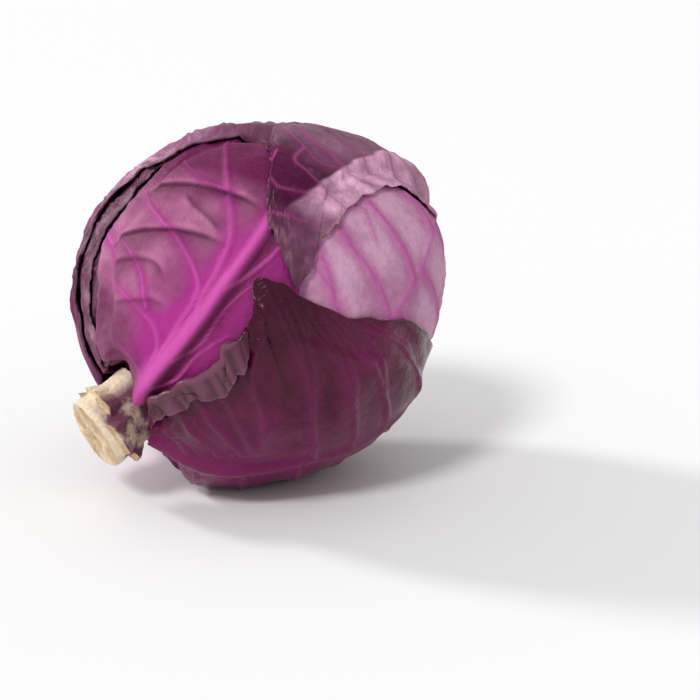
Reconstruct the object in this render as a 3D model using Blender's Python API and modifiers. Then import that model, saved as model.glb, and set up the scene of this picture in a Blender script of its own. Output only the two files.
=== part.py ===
"""A whole red cabbage head, cut from its plant and lying on its side.

A dense heart of tight leaves carries nine wrapper leaves and the cut stalk. Each
wrapper leaf is a blade with a raised midrib, side ribs and a waved margin, and is
laid over the leaves that are already on the head, from the inside outwards.

Frame: metres, +Z up. The origin is on the surface that the head rests on, straight
under the head's centre and inside the small flat spot of the lowest leaf. The stalk
points to -X and down.

A place on the head is given as (from_stalk, around), in degrees: the angle from the
stalk's axis, and the turn about that axis from the top of the head towards -Y.
"""

import math
from dataclasses import dataclass

import bmesh
import bpy
import numpy as np
from mathutils import Matrix, Vector
from mathutils.bvhtree import BVHTree

MM = 0.001

# Driving sizes, over the leaves
HEAD_LENGTH = 170 * MM
HEAD_WIDTH = 160 * MM
CENTRE_HEIGHT = 78.3 * MM
STALK_DROP = math.radians(29)
STALK_DIMPLE = 0.09
STALK_DIMPLE_SPREAD = math.radians(20)

# Where the head swells out of an egg's shape: from_stalk, around, height in
# millimetres and spread in degrees
SWELLS = ((157, 60, 3, 36), (92, -34, -3, 40), (132, 0, -2.5, 26))

# The heart
HEART_DEPTH = 15 * MM
HEART_SEAT = 65 * MM
HEART_FOLD = 0.8 * MM
HEART_LIFT = 7.6 * MM

# Every wrapper leaf
BLADE = 1.0 * MM
CLEARANCE = 0.45 * MM
SAMPLES_A_CELL = 4
RELAX_ROUNDS = 8
COLUMN_CROWDING = 1.3
MARGIN_BAND = 0.24
MARGIN_NOTCH = 0.03
MIDRIB_HALF_WIDTH = 9 * MM
RIB_SWEEP = 0.38

# The rolled margin of the lower leaf
RIM_WIDTH = 0.8 * MM
ROLL_WIDTH = 9 * MM
ROLL_TURN = math.radians(190)
ROLL_STEPS = 5

# The cut stalk: heights above its seat on the heart, and radii
STALK_GAP = 0.35 * MM
STALK_SIDES = 28
STALK_PROFILE_MM = ((0, 15.4), (13, 15.2), (19, 15.4), (25, 16.2), (28, 15.6))
STALK_LOBE = 0.035
CUT_SLANT = math.radians(-5)

# The stubs of trimmed leaves: around in degrees, then width, reach from the axis, foot
# and top above the stalk's seat in millimetres
LEAF_STUBS = (
    (-12, 19, 21.5, 12, 25),
    (34, 13, 20, 13, 21.5),
    (88, 20, 20.5, 13.5, 26),
    (150, 17, 20, 13.5, 22),
    (222, 16, 20.5, 13, 24),
    (296, 15, 20, 13, 22.5),
)
STUB_FOOT_REACH = 15.6
STUB_ROOT_REACH = 9

STALK_AXIS = Vector((-math.cos(STALK_DROP), 0, -math.sin(STALK_DROP)))
TOP_AXIS = Vector((-math.sin(STALK_DROP), 0, math.cos(STALK_DROP)))
NEAR_AXIS = Vector((0, -1, 0))
CENTRE = Vector((0, 0, CENTRE_HEIGHT))
MEAN_RADIUS = (HEAD_LENGTH + HEAD_WIDTH) / 4


@dataclass
class Leaf:
    """One wrapper leaf. near and far are its margins from base to tip, as places."""

    name: str
    level_mm: float
    centre: tuple
    base: tuple
    tip: tuple
    near: tuple
    far: tuple
    waves: float
    wave_mm: float
    rib_mm: float
    side_rib_mm: float
    ribs: int
    columns: int
    rows: int
    colour: tuple
    floor_mm: float = 0.0
    roll: tuple = ()


# The leaves in the order in which they lie, from the heart outwards. level_mm is how
# deep each lies under the head's outer shape, and floor_mm what lies below it.
LEAVES = (
    Leaf(
        "under_leaf", 10.5, (74, 2), (13.8, -25), (128, -20),
        near=((14.5, 10), (22, 34), (40, 34), (62, 30), (84, 28), (106, 20)),
        far=((14.5, -32), (24, -34), (45, -32), (75, -28), (105, -26)),
        waves=6, wave_mm=0.6, rib_mm=2.2, side_rib_mm=1.2, ribs=3, columns=9, rows=13,
        colour=(0.30, 0.07, 0.20, 1), floor_mm=9,
    ),
    Leaf(
        "right_leaf", 6.0, (92, 96), (13.8, 105), (160, 70),
        near=((15, 70), (24, 50), (45, 42), (70, 38), (95, 36), (125, 30), (148, 40)),
        far=((15, 145), (26, 160), (50, 160), (80, 156), (110, 150), (140, 140)),
        waves=7, wave_mm=0.8, rib_mm=2.6, side_rib_mm=2.0, ribs=5, columns=15, rows=19,
        colour=(0.48, 0.25, 0.42, 1), floor_mm=5.8,
    ),
    Leaf(
        "back_inner_leaf", 7.5, (80, 200), (13.8, 205), (150, 215),
        near=((15, 170), (26, 140), (50, 134), (80, 132), (112, 134), (138, 150)),
        far=((15, 240), (26, 262), (50, 270), (85, 270), (120, 268), (142, 255)),
        waves=7, wave_mm=0.8, rib_mm=2.4, side_rib_mm=1.6, ribs=5, columns=15, rows=19,
        colour=(0.28, 0.06, 0.18, 1), floor_mm=3.9,
    ),
    Leaf(
        "left_inner_leaf", 7.4, (72, -34), (13.8, -34), (112, -30),
        near=((14.2, -5), (21, 3), (32, -1), (46, -4), (62, -5), (82, -3), (100, -6)),
        far=((15, -58), (26, -68), (50, -70), (80, -66), (102, -52)),
        waves=8, wave_mm=1.6, rib_mm=2.6, side_rib_mm=1.4, ribs=5, columns=13, rows=19,
        colour=(0.26, 0.07, 0.17, 1), floor_mm=9,
    ),
    Leaf(
        "left_outer_leaf", 4.6, (72, -50), (13.8, -50), (114, -28),
        near=((14.4, -28), (22, -10), (34, -12), (48, -13), (64, -10), (84, -8), (101, -5)),
        far=((15, -80), (26, -92), (50, -96), (80, -90), (102, -72)),
        waves=8, wave_mm=2.0, rib_mm=3.0, side_rib_mm=1.4, ribs=5, columns=13, rows=19,
        colour=(0.24, 0.06, 0.15, 1), floor_mm=9,
    ),
    Leaf(
        "back_leaf", 3.2, (82, 238), (13.8, 242), (150, 236),
        near=((15, 205), (26, 176), (48, 172), (80, 172), (112, 174), (136, 194)),
        far=((15, 278), (24, 288), (48, 290), (80, 288), (112, 284), (138, 268)),
        waves=8, wave_mm=2.0, rib_mm=3.4, side_rib_mm=2.2, ribs=5, columns=17, rows=19,
        colour=(0.24, 0.06, 0.16, 1), floor_mm=2.0,
    ),
    Leaf(
        "front_leaf", 3.2, (68, 50), (13.8, 66), (126, 30),
        near=((14.6, 46), (18, 37), (24, 19), (32, 10), (42, 4), (56, 1), (72, 1), (90, -1), (106, 2), (114, 10)),
        far=((15, 88), (24, 100), (42, 102), (62, 94), (76, 76), (87, 60), (99, 50), (113, 42)),
        waves=9, wave_mm=1.6, rib_mm=4.6, side_rib_mm=2.2, ribs=7, columns=21, rows=25,
        colour=(0.55, 0.14, 0.44, 1), floor_mm=9,
    ),
    Leaf(
        "lower_leaf", 0.3, (64, 128), (13.8, 128), (124, 150),
        near=((14.6, 98), (17, 80), (22, 70), (32, 68), (40, 69), (45, 71), (52, 69), (56, 65), (61, 66), (66, 63),
              (70, 60), (72, 56), (77, 56), (82, 69), (91, 82), (106, 96), (118, 118)),
        far=((15, 165), (24, 188), (42, 198), (64, 202), (88, 198), (110, 182)),
        waves=8, wave_mm=1.4, rib_mm=3.8, side_rib_mm=2.4, ribs=7, columns=21, rows=25,
        colour=(0.20, 0.03, 0.12, 1), roll=(0.06, 0.40),
    ),
    Leaf(
        "crown_leaf", 2.0, (142, -34), (13.8, -80), (81, 66),
        near=((15, -62), (26, -48), (44, -36), (64, -30), (84, -24), (102, -12), (112, -1),
              (118, 9), (107, 24), (97, 34), (90, 42), (84, 50), (81, 58)),
        far=((15, -105), (28, -118), (50, -124), (76, -124), (102, -126), (126, -136),
             (148, -160), (162, 150), (152, 104), (143, 80), (136, 62), (125, 57), (110, 57),
             (102, 59), (95, 60), (88, 64)),
        waves=14, wave_mm=1.8, rib_mm=4.2, side_rib_mm=2.6, ribs=9, columns=21, rows=31,
        colour=(0.30, 0.06, 0.20, 1), floor_mm=9,
    ),
)


def direction(from_stalk, around):
    """The unit vector from the head's centre towards a place, as an array."""
    polar, turn = math.radians(from_stalk), math.radians(around)
    across = TOP_AXIS * math.cos(turn) + NEAR_AXIS * math.sin(turn)
    return np.array(STALK_AXIS * math.cos(polar) + across * math.sin(polar))


def unit(vectors):
    """The vectors scaled to length 1."""
    return vectors / np.linalg.norm(vectors, axis=-1, keepdims=True)


def slerp(first, last, share):
    """Directions on the great circle from first to last, at share of the way."""
    angle = np.arccos(np.clip((first * last).sum(-1, keepdims=True), -1, 1))
    angle = np.maximum(angle, 1e-6)
    mixed = np.sin((1 - share) * angle) * first + np.sin(share * angle) * last
    return unit(mixed / np.sin(angle))


def outer_radius(directions, depth=0.0):
    """The head's outer shape less depth: an ellipsoid that dips in round the stalk."""
    along = directions @ np.array(STALK_AXIS)
    length, width = HEAD_LENGTH / 2 - depth, HEAD_WIDTH / 2 - depth
    radius = 1 / np.sqrt(along**2 / length**2 + (1 - along**2) / width**2)
    for from_stalk, around, height, spread in SWELLS:
        off = np.arccos(np.clip(directions @ direction(from_stalk, around), -1, 1))
        radius = radius + height * MM * np.exp(-((off / math.radians(spread)) ** 2))
    polar = np.arccos(np.clip(along, -1, 1))
    return radius * (1 - STALK_DIMPLE * np.exp(-((polar / STALK_DIMPLE_SPREAD) ** 2)))


def floor_radius(directions, lift=0.0):
    """How far the plane at height lift is from the centre along each direction."""
    down = np.maximum(-directions[..., 2], 1e-3)
    return (CENTRE_HEIGHT - lift) / down


def smooth_margin(places, count):
    """count directions along a smooth curve through the places, closer where they are."""
    knots = [direction(*place) for place in places]
    knots = [2 * knots[0] - knots[1], *knots, 2 * knots[-1] - knots[-2]]
    line = []
    for a, b, c, d in zip(knots, knots[1:], knots[2:], knots[3:]):
        for t in np.linspace(0, 1, 12, endpoint=False):
            line.append(
                0.5 * (2 * b + (c - a) * t + (2 * a - 5 * b + 4 * c - d) * t**2
                       + (3 * b - a - 3 * c + d) * t**3)
            )
    line = unit(np.array([*line, knots[-2]]))
    steps = np.linalg.norm(np.diff(line, axis=0), axis=1)
    length = np.concatenate([[0], np.cumsum(steps)]) / steps.sum()
    place = (length + np.linspace(0, 1, len(line))) / 2
    even = np.linspace(0, 1, count)
    return unit(np.stack([np.interp(even, place, line[:, i]) for i in range(3)], -1))


class Blade:
    """The directions of a leaf's grid, with where each lies in the leaf."""

    MARGIN_POINTS = 240

    def __init__(self, leaf, x_values, y_values):
        x, y = np.meshgrid(x_values, y_values)
        self.across, self.row = np.abs(x), y
        y = y + RIB_SWEEP * np.abs(x) * (1 - y**2)
        right, ahead = x * np.sqrt(1 - y**2 / 2), y * np.sqrt(1 - x**2 / 2)
        self.reach = np.hypot(right, ahead)
        self.along = (ahead + 1) / 2
        self.share = 1 - np.abs(np.arctan2(right, ahead)) / math.pi
        self.side = np.where(right < 0, -1.0, 1.0)
        self.near = smooth_margin([leaf.base, *leaf.near, leaf.tip], self.MARGIN_POINTS)
        self.far = smooth_margin([leaf.base, *leaf.far, leaf.tip], self.MARGIN_POINTS)
        at = self.share * (self.MARGIN_POINTS - 1)
        low = np.clip(at.astype(int), 0, self.MARGIN_POINTS - 2)
        part = (at - low)[..., None]
        near = unit(self.near[low] * (1 - part) + self.near[low + 1] * part)
        far = unit(self.far[low] * (1 - part) + self.far[low + 1] * part)
        self.margin = np.where(self.side[..., None] < 0, near, far)
        self.phase = 2 * math.pi * leaf.waves * self.share + 1.3 * self.side
        self.centre = direction(*leaf.centre)
        self.base = direction(*leaf.base)
        self.tip = direction(*leaf.tip)
        centres = np.broadcast_to(self.centre, self.margin.shape)
        notch = MARGIN_NOTCH * (0.5 + 0.5 * np.sin(1.7 * self.phase) * np.sin(0.6 * self.phase))
        notch = notch * self.reach**4 * self.end_fade()
        self.directions = slerp(centres, self.margin, (self.reach * (1 - notch))[..., None])

    def end_fade(self):
        """0 at the leaf's base and tip, and 1 along the middle of its margins."""
        return np.clip(np.minimum(self.share / 0.12, (1 - self.share) / 0.08), 0, 1)

    def on_midrib(self, share):
        """The direction at a share of the midrib, from base to tip."""
        if share < 0.5:
            return slerp(self.base, self.centre, share * 2)
        return slerp(self.centre, self.tip, share * 2 - 1)

    def distance_to(self, line):
        """How far each grid direction is from a line of directions, over the surface."""
        cosine = np.clip(self.directions @ np.array(line).T, -1, 1)
        return np.arccos(cosine.max(-1)) * MEAN_RADIUS


def ridge(distance, half_width):
    """1 on a rib's line, falling smoothly to 0 at its half width."""
    share = np.clip(1 - distance / half_width, 0, 1)
    return share * share * (3 - 2 * share)


def relief(blade, leaf):
    """How far a leaf's midrib, side ribs and waved margin stand out of its sheet."""
    midrib = [blade.on_midrib(share) for share in np.linspace(0, 1, 60)]
    taper = 1 - 0.75 * blade.along
    height = leaf.rib_mm * MM * taper * ridge(blade.distance_to(midrib), MIDRIB_HALF_WIDTH)
    between_ribs = (blade.row + 1) / 2 * (leaf.ribs + 1)
    from_rib = np.abs(between_ribs - np.round(between_ribs))
    fade = np.clip(1.6 - 1.2 * blade.across, 0, 1)
    fade = fade * np.clip(4 * (1 - np.abs(blade.row)), 0, 1)
    height = np.maximum(height, leaf.side_rib_mm * MM * fade * ridge(from_rib, 0.5))
    rim = np.clip((blade.reach - 1 + MARGIN_BAND) / MARGIN_BAND, 0, 1) ** 2
    wave = 0.5 + 0.5 * np.sin(blade.phase) * np.sin(0.43 * blade.phase + 0.7)
    height = height * np.clip(0.35 + blade.along / 0.1, 0, 1)
    return height + leaf.wave_mm * MM * rim * blade.end_fade() * wave


def laid_on(tree, directions):
    """The radius of what already lies on the head along each direction."""
    radii = np.zeros(directions.shape[:-1])
    for index in np.ndindex(radii.shape):
        ray = Vector(directions[index])
        hit = tree.ray_cast(CENTRE + ray * HEAD_LENGTH, -ray)[0]
        radii[index] = (hit - CENTRE).length
    return radii


def grid_lines(count, crowding=1.0):
    """count values from -1 to 1, crowded towards the middle."""
    even = np.linspace(-1, 1, count)
    return np.sign(even) * np.abs(even) ** crowding


def between(values, parts):
    """The values with parts - 1 more between each two."""
    at = np.arange(0, len(values) - 1 + 1e-9, 1 / parts)
    return np.interp(at, np.arange(len(values)), values)


def cell_sag(directions):
    """How far the middle of a flat cell drops below the round of its corners."""
    rows, columns = directions.shape[:2]
    padded = np.pad(directions, ((1, 1), (1, 1), (0, 0)), mode="edge")
    corners = [
        (padded[row: row + rows, column: column + columns] * directions).sum(-1)
        for row in (0, 2) for column in (0, 2)
    ]
    widest = np.arccos(np.clip(np.min(corners, axis=0), -1, 1))
    return MEAN_RADIUS * (1 - np.cos(widest / 2))


def drape(tree, leaf, columns, rows):
    """The radius at which a leaf lies over what is under it, like a taut sheet."""
    fine = Blade(leaf, between(columns, SAMPLES_A_CELL), between(rows, SAMPLES_A_CELL))
    under = laid_on(tree, fine.directions)
    needed = np.zeros((len(rows), len(columns)))
    for row, column in np.ndindex(needed.shape):
        top, left = row * SAMPLES_A_CELL, column * SAMPLES_A_CELL
        window = under[
            max(top - SAMPLES_A_CELL, 0): top + SAMPLES_A_CELL + 1,
            max(left - SAMPLES_A_CELL, 0): left + SAMPLES_A_CELL + 1,
        ]
        needed[row, column] = window.max()
    own = Blade(leaf, columns, rows)
    needed += BLADE + CLEARANCE + cell_sag(own.directions)
    least = outer_radius(own.directions, leaf.level_mm * MM)
    needed = np.maximum(needed, least)
    radius = needed.copy()
    for _ in range(RELAX_ROUNDS):
        padded = np.pad(radius, 1, mode="edge")
        mean = (padded[:-2, 1:-1] + padded[2:, 1:-1] + padded[1:-1, :-2] + padded[1:-1, 2:]) / 4
        radius = np.maximum(needed, mean)
    return own, radius


def roll_over(mesh, blade, leaf, points):
    """Adds a narrow rim to the blade, and rolls a stretch of its near side outwards."""
    columns = blade.reach.shape[1]
    first, last = leaf.roll
    place_of = {vert: vert.index for vert in mesh.verts}
    strip = [edge for edge in mesh.edges if edge.is_boundary]
    for step in range(1, ROLL_STEPS + 1):
        made = bmesh.ops.extrude_edge_only(mesh, edges=strip)["geom"]
        fresh = {vert for vert in made if isinstance(vert, bmesh.types.BMVert)}
        edges = [edge for edge in made if isinstance(edge, bmesh.types.BMEdge)]
        strip = [edge for edge in edges if fresh.issuperset(edge.verts)]
        for vert in fresh:
            others = [edge.other_vert(vert) for edge in vert.link_edges]
            place_of[vert] = next(place_of[other] for other in others if other not in fresh)
            row, column = divmod(place_of[vert], columns)
            share = blade.share[row, column]
            amount = min(max((share - first) / 0.08, 0), 1) * min(max((last - share) / 0.10, 0), 1)
            amount = amount if blade.side[row, column] < 0 else 0
            outward = blade.directions[row, column]
            away = blade.margin[row, column] - blade.centre
            away = unit(away - outward * (away @ outward))
            width = RIM_WIDTH + amount * (ROLL_WIDTH - RIM_WIDTH)
            turn = max(amount * ROLL_TURN, 0.02)
            radius, angle = width / turn, turn * step / ROLL_STEPS
            curl = away * math.sin(angle) + outward * (1 - math.cos(angle))
            vert.co = points[place_of[vert]] + curl * radius


def material(name, colour, roughness):
    """A plain Principled material."""
    made = bpy.data.materials.new(name)
    made.use_nodes = True
    shader = made.node_tree.nodes["Principled BSDF"]
    shader.inputs["Base Color"].default_value = colour
    shader.inputs["Roughness"].default_value = roughness
    shader.inputs["Metallic"].default_value = 0.0
    return made


def add_object(name, mesh, collection, parent):
    """An object of a bmesh, in the head's collection and on its empty."""
    data = bpy.data.meshes.new(name)
    mesh.to_mesh(data)
    mesh.free()
    data.shade_smooth()
    data.set_sharp_from_angle(angle=math.radians(50))
    made = bpy.data.objects.new(name, data)
    made.parent = parent
    collection.objects.link(made)
    return made


def add_heart(collection, parent):
    """The dense heart: an egg of tight leaves, cut flat where the stalk joins it."""
    mesh = bmesh.new()
    bmesh.ops.create_icosphere(mesh, subdivisions=4, radius=1)
    for vert in mesh.verts:
        ray = np.array(vert.co.normalized())
        along = float(ray @ np.array(STALK_AXIS))
        turn = math.atan2(ray @ np.array(NEAR_AXIS), ray @ np.array(TOP_AXIS))
        fold = HEART_FOLD * math.sin(3 * turn + 4 * along) * (1 - along**2)
        radius = float(outer_radius(ray, HEART_DEPTH)) - abs(fold)
        radius = min(radius, float(floor_radius(ray, HEART_LIFT)))
        if along > 0:
            radius = min(radius, HEART_SEAT / along)
        vert.co = CENTRE + Vector(ray) * radius
    heart = add_object("heart", mesh, collection, parent)
    heart.data.materials.append(material("heart_leaves", (0.35, 0.10, 0.28, 1), 0.5))
    return heart


def add_leaf(leaf, tree, collection, parent):
    """One wrapper leaf, laid over what the tree holds."""
    columns = grid_lines(leaf.columns, COLUMN_CROWDING)
    rows = grid_lines(leaf.rows)
    blade, radius = drape(tree, leaf, columns, rows)
    radius = radius + relief(blade, leaf)
    radius = np.minimum(radius, floor_radius(blade.directions, leaf.floor_mm * MM))
    points = np.array(CENTRE) + blade.directions * radius[..., None]
    if leaf.floor_mm == 0:
        points[..., 2] = np.where(points[..., 2] < 1e-6, 0.0, points[..., 2])
    points = points.reshape(-1, 3)
    mesh = bmesh.new()
    bmesh.ops.create_grid(
        mesh, x_segments=leaf.columns - 1, y_segments=leaf.rows - 1, size=1
    )
    mesh.verts.ensure_lookup_table()
    mesh.verts.index_update()
    for vert, point in zip(mesh.verts, points):
        vert.co = point
    if leaf.roll:
        roll_over(mesh, blade, leaf, points)
    mesh.normal_update()
    middle = max(mesh.faces, key=lambda face: face.calc_center_median() @ Vector(blade.centre))
    if middle.normal @ Vector(blade.centre) < 0:
        bmesh.ops.reverse_faces(mesh, faces=mesh.faces[:])
    made = add_object(leaf.name, mesh, collection, parent)
    made.data.materials.append(material(leaf.name + "_skin", leaf.colour, 0.42))
    blade_thickness = made.modifiers.new("blade", "SOLIDIFY")
    blade_thickness.thickness = BLADE
    blade_thickness.offset = -1
    blade_thickness.use_even_offset = False
    return made


def stalk_frame():
    """The matrix that takes +Z to the stalk's axis and +X to the top of the head."""
    side = STALK_AXIS.cross(TOP_AXIS)
    turn = Matrix((TOP_AXIS, side, STALK_AXIS)).transposed().to_4x4()
    return Matrix.Translation(CENTRE) @ turn


def add_stub(number, stub, cutters):
    """The solid of one trimmed leaf's stub: a wedge that leans out from the neck."""
    around, width, reach, foot, top = stub
    mesh = bmesh.new()
    bmesh.ops.create_cube(mesh, size=1)
    for vert in mesh.verts:
        outer, upper = vert.co.x > 0, vert.co.z > 0
        out = (reach if upper else STUB_FOOT_REACH) if outer else STUB_ROOT_REACH
        across = width * (0.5 if upper else 0.36) * (0.72 if outer else 1)
        height = (top - (2.5 if outer else 0)) if upper else foot
        vert.co = (out * MM, across * MM * math.copysign(1, vert.co.y), height * MM)
    edges = [edge for edge in mesh.edges if max(vert.co.x for vert in edge.verts) > STUB_ROOT_REACH * MM]
    bmesh.ops.bevel(mesh, geom=edges, offset=1.6 * MM, segments=2, profile=0.5, affect="EDGES")
    turn = Matrix.Rotation(math.radians(-around), 4, "Z")
    seat = Matrix.Translation((0, 0, HEART_SEAT + STALK_GAP))
    mesh.transform(stalk_frame() @ turn @ seat)
    bmesh.ops.recalc_face_normals(mesh, faces=mesh.faces[:])
    made = add_object("stub_solid_%d" % number, mesh, cutters, None)
    made.hide_render = True
    made.display_type = "WIRE"
    return made


def add_stalk(collection, cutters, parent):
    """The stump of the stalk, cut slantwise, with the stubs of trimmed leaves on it."""
    mesh = bmesh.new()
    bmesh.ops.create_cone(
        mesh, segments=STALK_SIDES, radius1=1, radius2=1, depth=1, cap_ends=True
    )
    caps = sorted(mesh.faces, key=lambda face: abs(face.normal.z))[-2:]
    ends = sorted(caps, key=lambda face: face.calc_center_median().z)
    for number, (along, radius) in enumerate(STALK_PROFILE_MM):
        end = ends[min(number, 1)]
        if number > 1:
            made = bmesh.ops.extrude_face_region(mesh, geom=[end])["geom"]
            bmesh.ops.delete(mesh, geom=[end], context="FACES_ONLY")
            end = next(part for part in made if isinstance(part, bmesh.types.BMFace))
            ends[1] = end
        for vert in end.verts:
            turn = math.atan2(vert.co.y, vert.co.x)
            lobe = 1 + STALK_LOBE * (math.sin(3 * turn + 1) + 0.6 * math.sin(5 * turn))
            slant = math.cos(turn) * math.tan(CUT_SLANT) * radius if along > 20 else 0
            reach = radius * lobe * MM
            height = HEART_SEAT + STALK_GAP + (along + slant) * MM
            vert.co = (reach * math.cos(turn), reach * math.sin(turn), height)
    mesh.transform(stalk_frame())
    bmesh.ops.recalc_face_normals(mesh, faces=mesh.faces[:])
    stalk = add_object("stalk", mesh, collection, parent)
    stalk.data.materials.append(material("cut_stalk", (0.52, 0.38, 0.22, 1), 0.75))
    for number, stub in enumerate(LEAF_STUBS):
        joined = stalk.modifiers.new("stub", "BOOLEAN")
        joined.operation = "UNION"
        joined.solver = "EXACT"
        joined.object = add_stub(number, stub, cutters)
    return stalk


def surface_tree(objects):
    """One ray-casting tree of the objects as they stand with their modifiers."""
    graph = bpy.context.evaluated_depsgraph_get()
    points, faces = [], []
    for obj in objects:
        shown = obj.evaluated_get(graph)
        start = len(points)
        points += [shown.matrix_world @ v.co for v in shown.data.vertices]
        faces += [[start + i for i in p.vertices] for p in shown.data.polygons]
    return BVHTree.FromPolygons(points, faces)


def build():
    """Clears the scene and makes the head."""
    for obj in list(bpy.data.objects):
        bpy.data.objects.remove(obj)
    head = bpy.data.collections.new("cabbage_head")
    bpy.context.scene.collection.children.link(head)
    cutters = bpy.data.collections.new("stub_solids")
    bpy.context.scene.collection.children.link(cutters)
    stand = bpy.data.objects.new("head_frame", None)
    head.objects.link(stand)
    add_stalk(head, cutters, stand)
    laid = [add_heart(head, stand)]
    for leaf in LEAVES:
        bpy.context.view_layer.update()
        laid.append(add_leaf(leaf, surface_tree(laid), head, stand))


build()
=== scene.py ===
import math
import random
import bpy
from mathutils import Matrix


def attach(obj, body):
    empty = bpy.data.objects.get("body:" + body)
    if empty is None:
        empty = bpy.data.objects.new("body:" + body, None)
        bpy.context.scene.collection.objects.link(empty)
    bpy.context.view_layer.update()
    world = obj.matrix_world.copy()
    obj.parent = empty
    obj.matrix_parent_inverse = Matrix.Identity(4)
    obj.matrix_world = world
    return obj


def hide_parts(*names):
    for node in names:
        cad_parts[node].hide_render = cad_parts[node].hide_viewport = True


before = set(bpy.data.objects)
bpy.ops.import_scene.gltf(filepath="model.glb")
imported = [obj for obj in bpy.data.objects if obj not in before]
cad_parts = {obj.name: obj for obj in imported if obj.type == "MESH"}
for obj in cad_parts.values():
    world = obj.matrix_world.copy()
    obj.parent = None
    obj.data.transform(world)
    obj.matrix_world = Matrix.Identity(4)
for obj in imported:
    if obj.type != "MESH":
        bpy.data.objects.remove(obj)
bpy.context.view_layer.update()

from types import SimpleNamespace

import bmesh
import bpy
import numpy as np
from mathutils import Matrix, Vector, noise
from mathutils.bvhtree import BVHTree
from mathutils.kdtree import KDTree

# Heart: the dense middle of the head, hundreds of leaves folded tightly over
# each other. Fresh leaf, dark magenta where a slit between the wrapper leaves
# shows it. Its solid in the frame has the right shape and only gets a skin.

MM = 0.001


class Value:
    """A number, colour or vector in a material, for shader maths as expressions."""

    def __init__(self, skin, socket):
        self.skin, self.socket = skin, socket

    def maths(self, operation, first, second):
        return self.skin.node("ShaderNodeMath", {"operation": operation}, {0: first, 1: second})

    def __add__(self, other):
        return self.maths("ADD", self, other)

    def __sub__(self, other):
        return self.maths("SUBTRACT", self, other)

    def __rsub__(self, other):
        return self.maths("SUBTRACT", other, self)

    def __mul__(self, other):
        return self.maths("MULTIPLY", self, other)

    __radd__ = __add__
    __rmul__ = __mul__


class Skin:
    """A material of the head, whose nodes are all added by the method node."""

    def __init__(self, name, **constants):
        self.material = bpy.data.materials.new(name)
        self.material.use_nodes = True
        self.tree = self.material.node_tree
        self.shader = self.tree.nodes["Principled BSDF"]
        for socket, value in constants.items():
            self.shader.inputs[socket.replace("_", " ")].default_value = value

    def node(self, kind, settings, sockets, output=0):
        made = self.tree.nodes.new(kind)
        for setting, value in settings.items():
            setattr(made, setting, value)
        for socket, value in sockets.items():
            if isinstance(value, Value):
                self.tree.links.new(value.socket, made.inputs[socket])
            else:
                made.inputs[socket].default_value = value
        return Value(self, made.outputs[output])

    def place(self):
        return self.node("ShaderNodeTexCoord", {}, {}, "Object")

    def mask(self, name):
        return self.node("ShaderNodeAttribute", {"attribute_name": name}, {}, "Fac")

    def mix(self, factor, first, second):
        sockets = {0: factor, 6: first, 7: second}
        return self.node("ShaderNodeMix", {"data_type": "RGBA", "clamp_factor": True}, sockets, 2)

    def clouds(self, place, size, detail=3.0, rough=0.55):
        sockets = {"Vector": place, "Scale": 1 / size, "Detail": detail, "Roughness": rough}
        return self.node("ShaderNodeTexNoise", {}, sockets)

    def ramp(self, value, low, high):
        """0 below low, 1 above high, and smooth between."""
        sockets = {"Value": value, "From Min": low, "From Max": high}
        settings = {"interpolation_type": "SMOOTHSTEP", "clamp": True}
        return self.node("ShaderNodeMapRange", settings, sockets)

    def network(self, place, size):
        """1 along the borders of small irregular cells, as between the finest veins."""
        sockets = {"Vector": place, "Scale": 1.4 / size}
        drift = self.node("ShaderNodeTexNoise", {}, sockets, "Color")
        sockets = {0: drift, "Scale": size}
        drift = self.node("ShaderNodeVectorMath", {"operation": "SCALE"}, sockets)
        bent = self.node("ShaderNodeVectorMath", {"operation": "ADD"}, {0: place, 1: drift})
        settings = {"feature": "DISTANCE_TO_EDGE"}
        edge = self.node("ShaderNodeTexVoronoi", settings, {"Vector": bent, "Scale": 1 / size})
        return 1 - self.ramp(edge, 0.0, 0.16)

    def finish(self, colour, roughness, height, depth):
        """Joins up the shader: a colour, a roughness, and a bump of height times depth."""
        sockets = {"Height": height, "Strength": 1.0, "Distance": depth}
        bump = self.node("ShaderNodeBump", {}, sockets)
        self.tree.links.new(colour.socket, self.shader.inputs["Base Color"])
        self.tree.links.new(roughness.socket, self.shader.inputs["Roughness"])
        self.tree.links.new(bump.socket, self.shader.inputs["Normal"])
        return self.material


heart_skin = Skin("heart_leaf", Specular_IOR_Level=0.15)
heart_place = heart_skin.place()
heart_net = heart_skin.network(heart_place, 4 * MM)
heart_fine = heart_skin.clouds(heart_place, 2.5 * MM, 4.0, 0.6)
heart_colour = heart_skin.mix(
    heart_skin.ramp(heart_skin.clouds(heart_place, 18 * MM) + 0.4 * heart_fine, 0.45, 0.95),
    (0.10, 0.012, 0.055, 1), (0.24, 0.06, 0.15, 1),
)
heart_colour = heart_skin.mix(heart_net * 0.13, heart_colour, (0.4, 0.14, 0.3, 1))
heart_material = heart_skin.finish(
    heart_colour, 0.4 + 0.15 * heart_fine, 0.4 * heart_net + heart_fine, 0.25 * MM
)
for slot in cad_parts["heart"].material_slots:
    slot.material = heart_material

# Under leaf: the small leaf at the bottom of the crevice at the top left. A fresh
# blade about 1 mm thick. Each wrapper leaf is laid taut over all that is already on
# the head, and its waved free margin sinks onto what is under it.

HEAD_LENGTH = 170 * MM
HEAD_WIDTH = 160 * MM
CENTRE_HEIGHT = 78.3 * MM
STALK_DROP = math.radians(29)
STALK_AXIS = Vector((-math.cos(STALK_DROP), 0, -math.sin(STALK_DROP)))
TOP_AXIS = Vector((-math.sin(STALK_DROP), 0, math.cos(STALK_DROP)))
NEAR_AXIS = Vector((0, -1, 0))
CENTRE = Vector((0, 0, CENTRE_HEIGHT))
MEAN_RADIUS = (HEAD_LENGTH + HEAD_WIDTH) / 4
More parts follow.
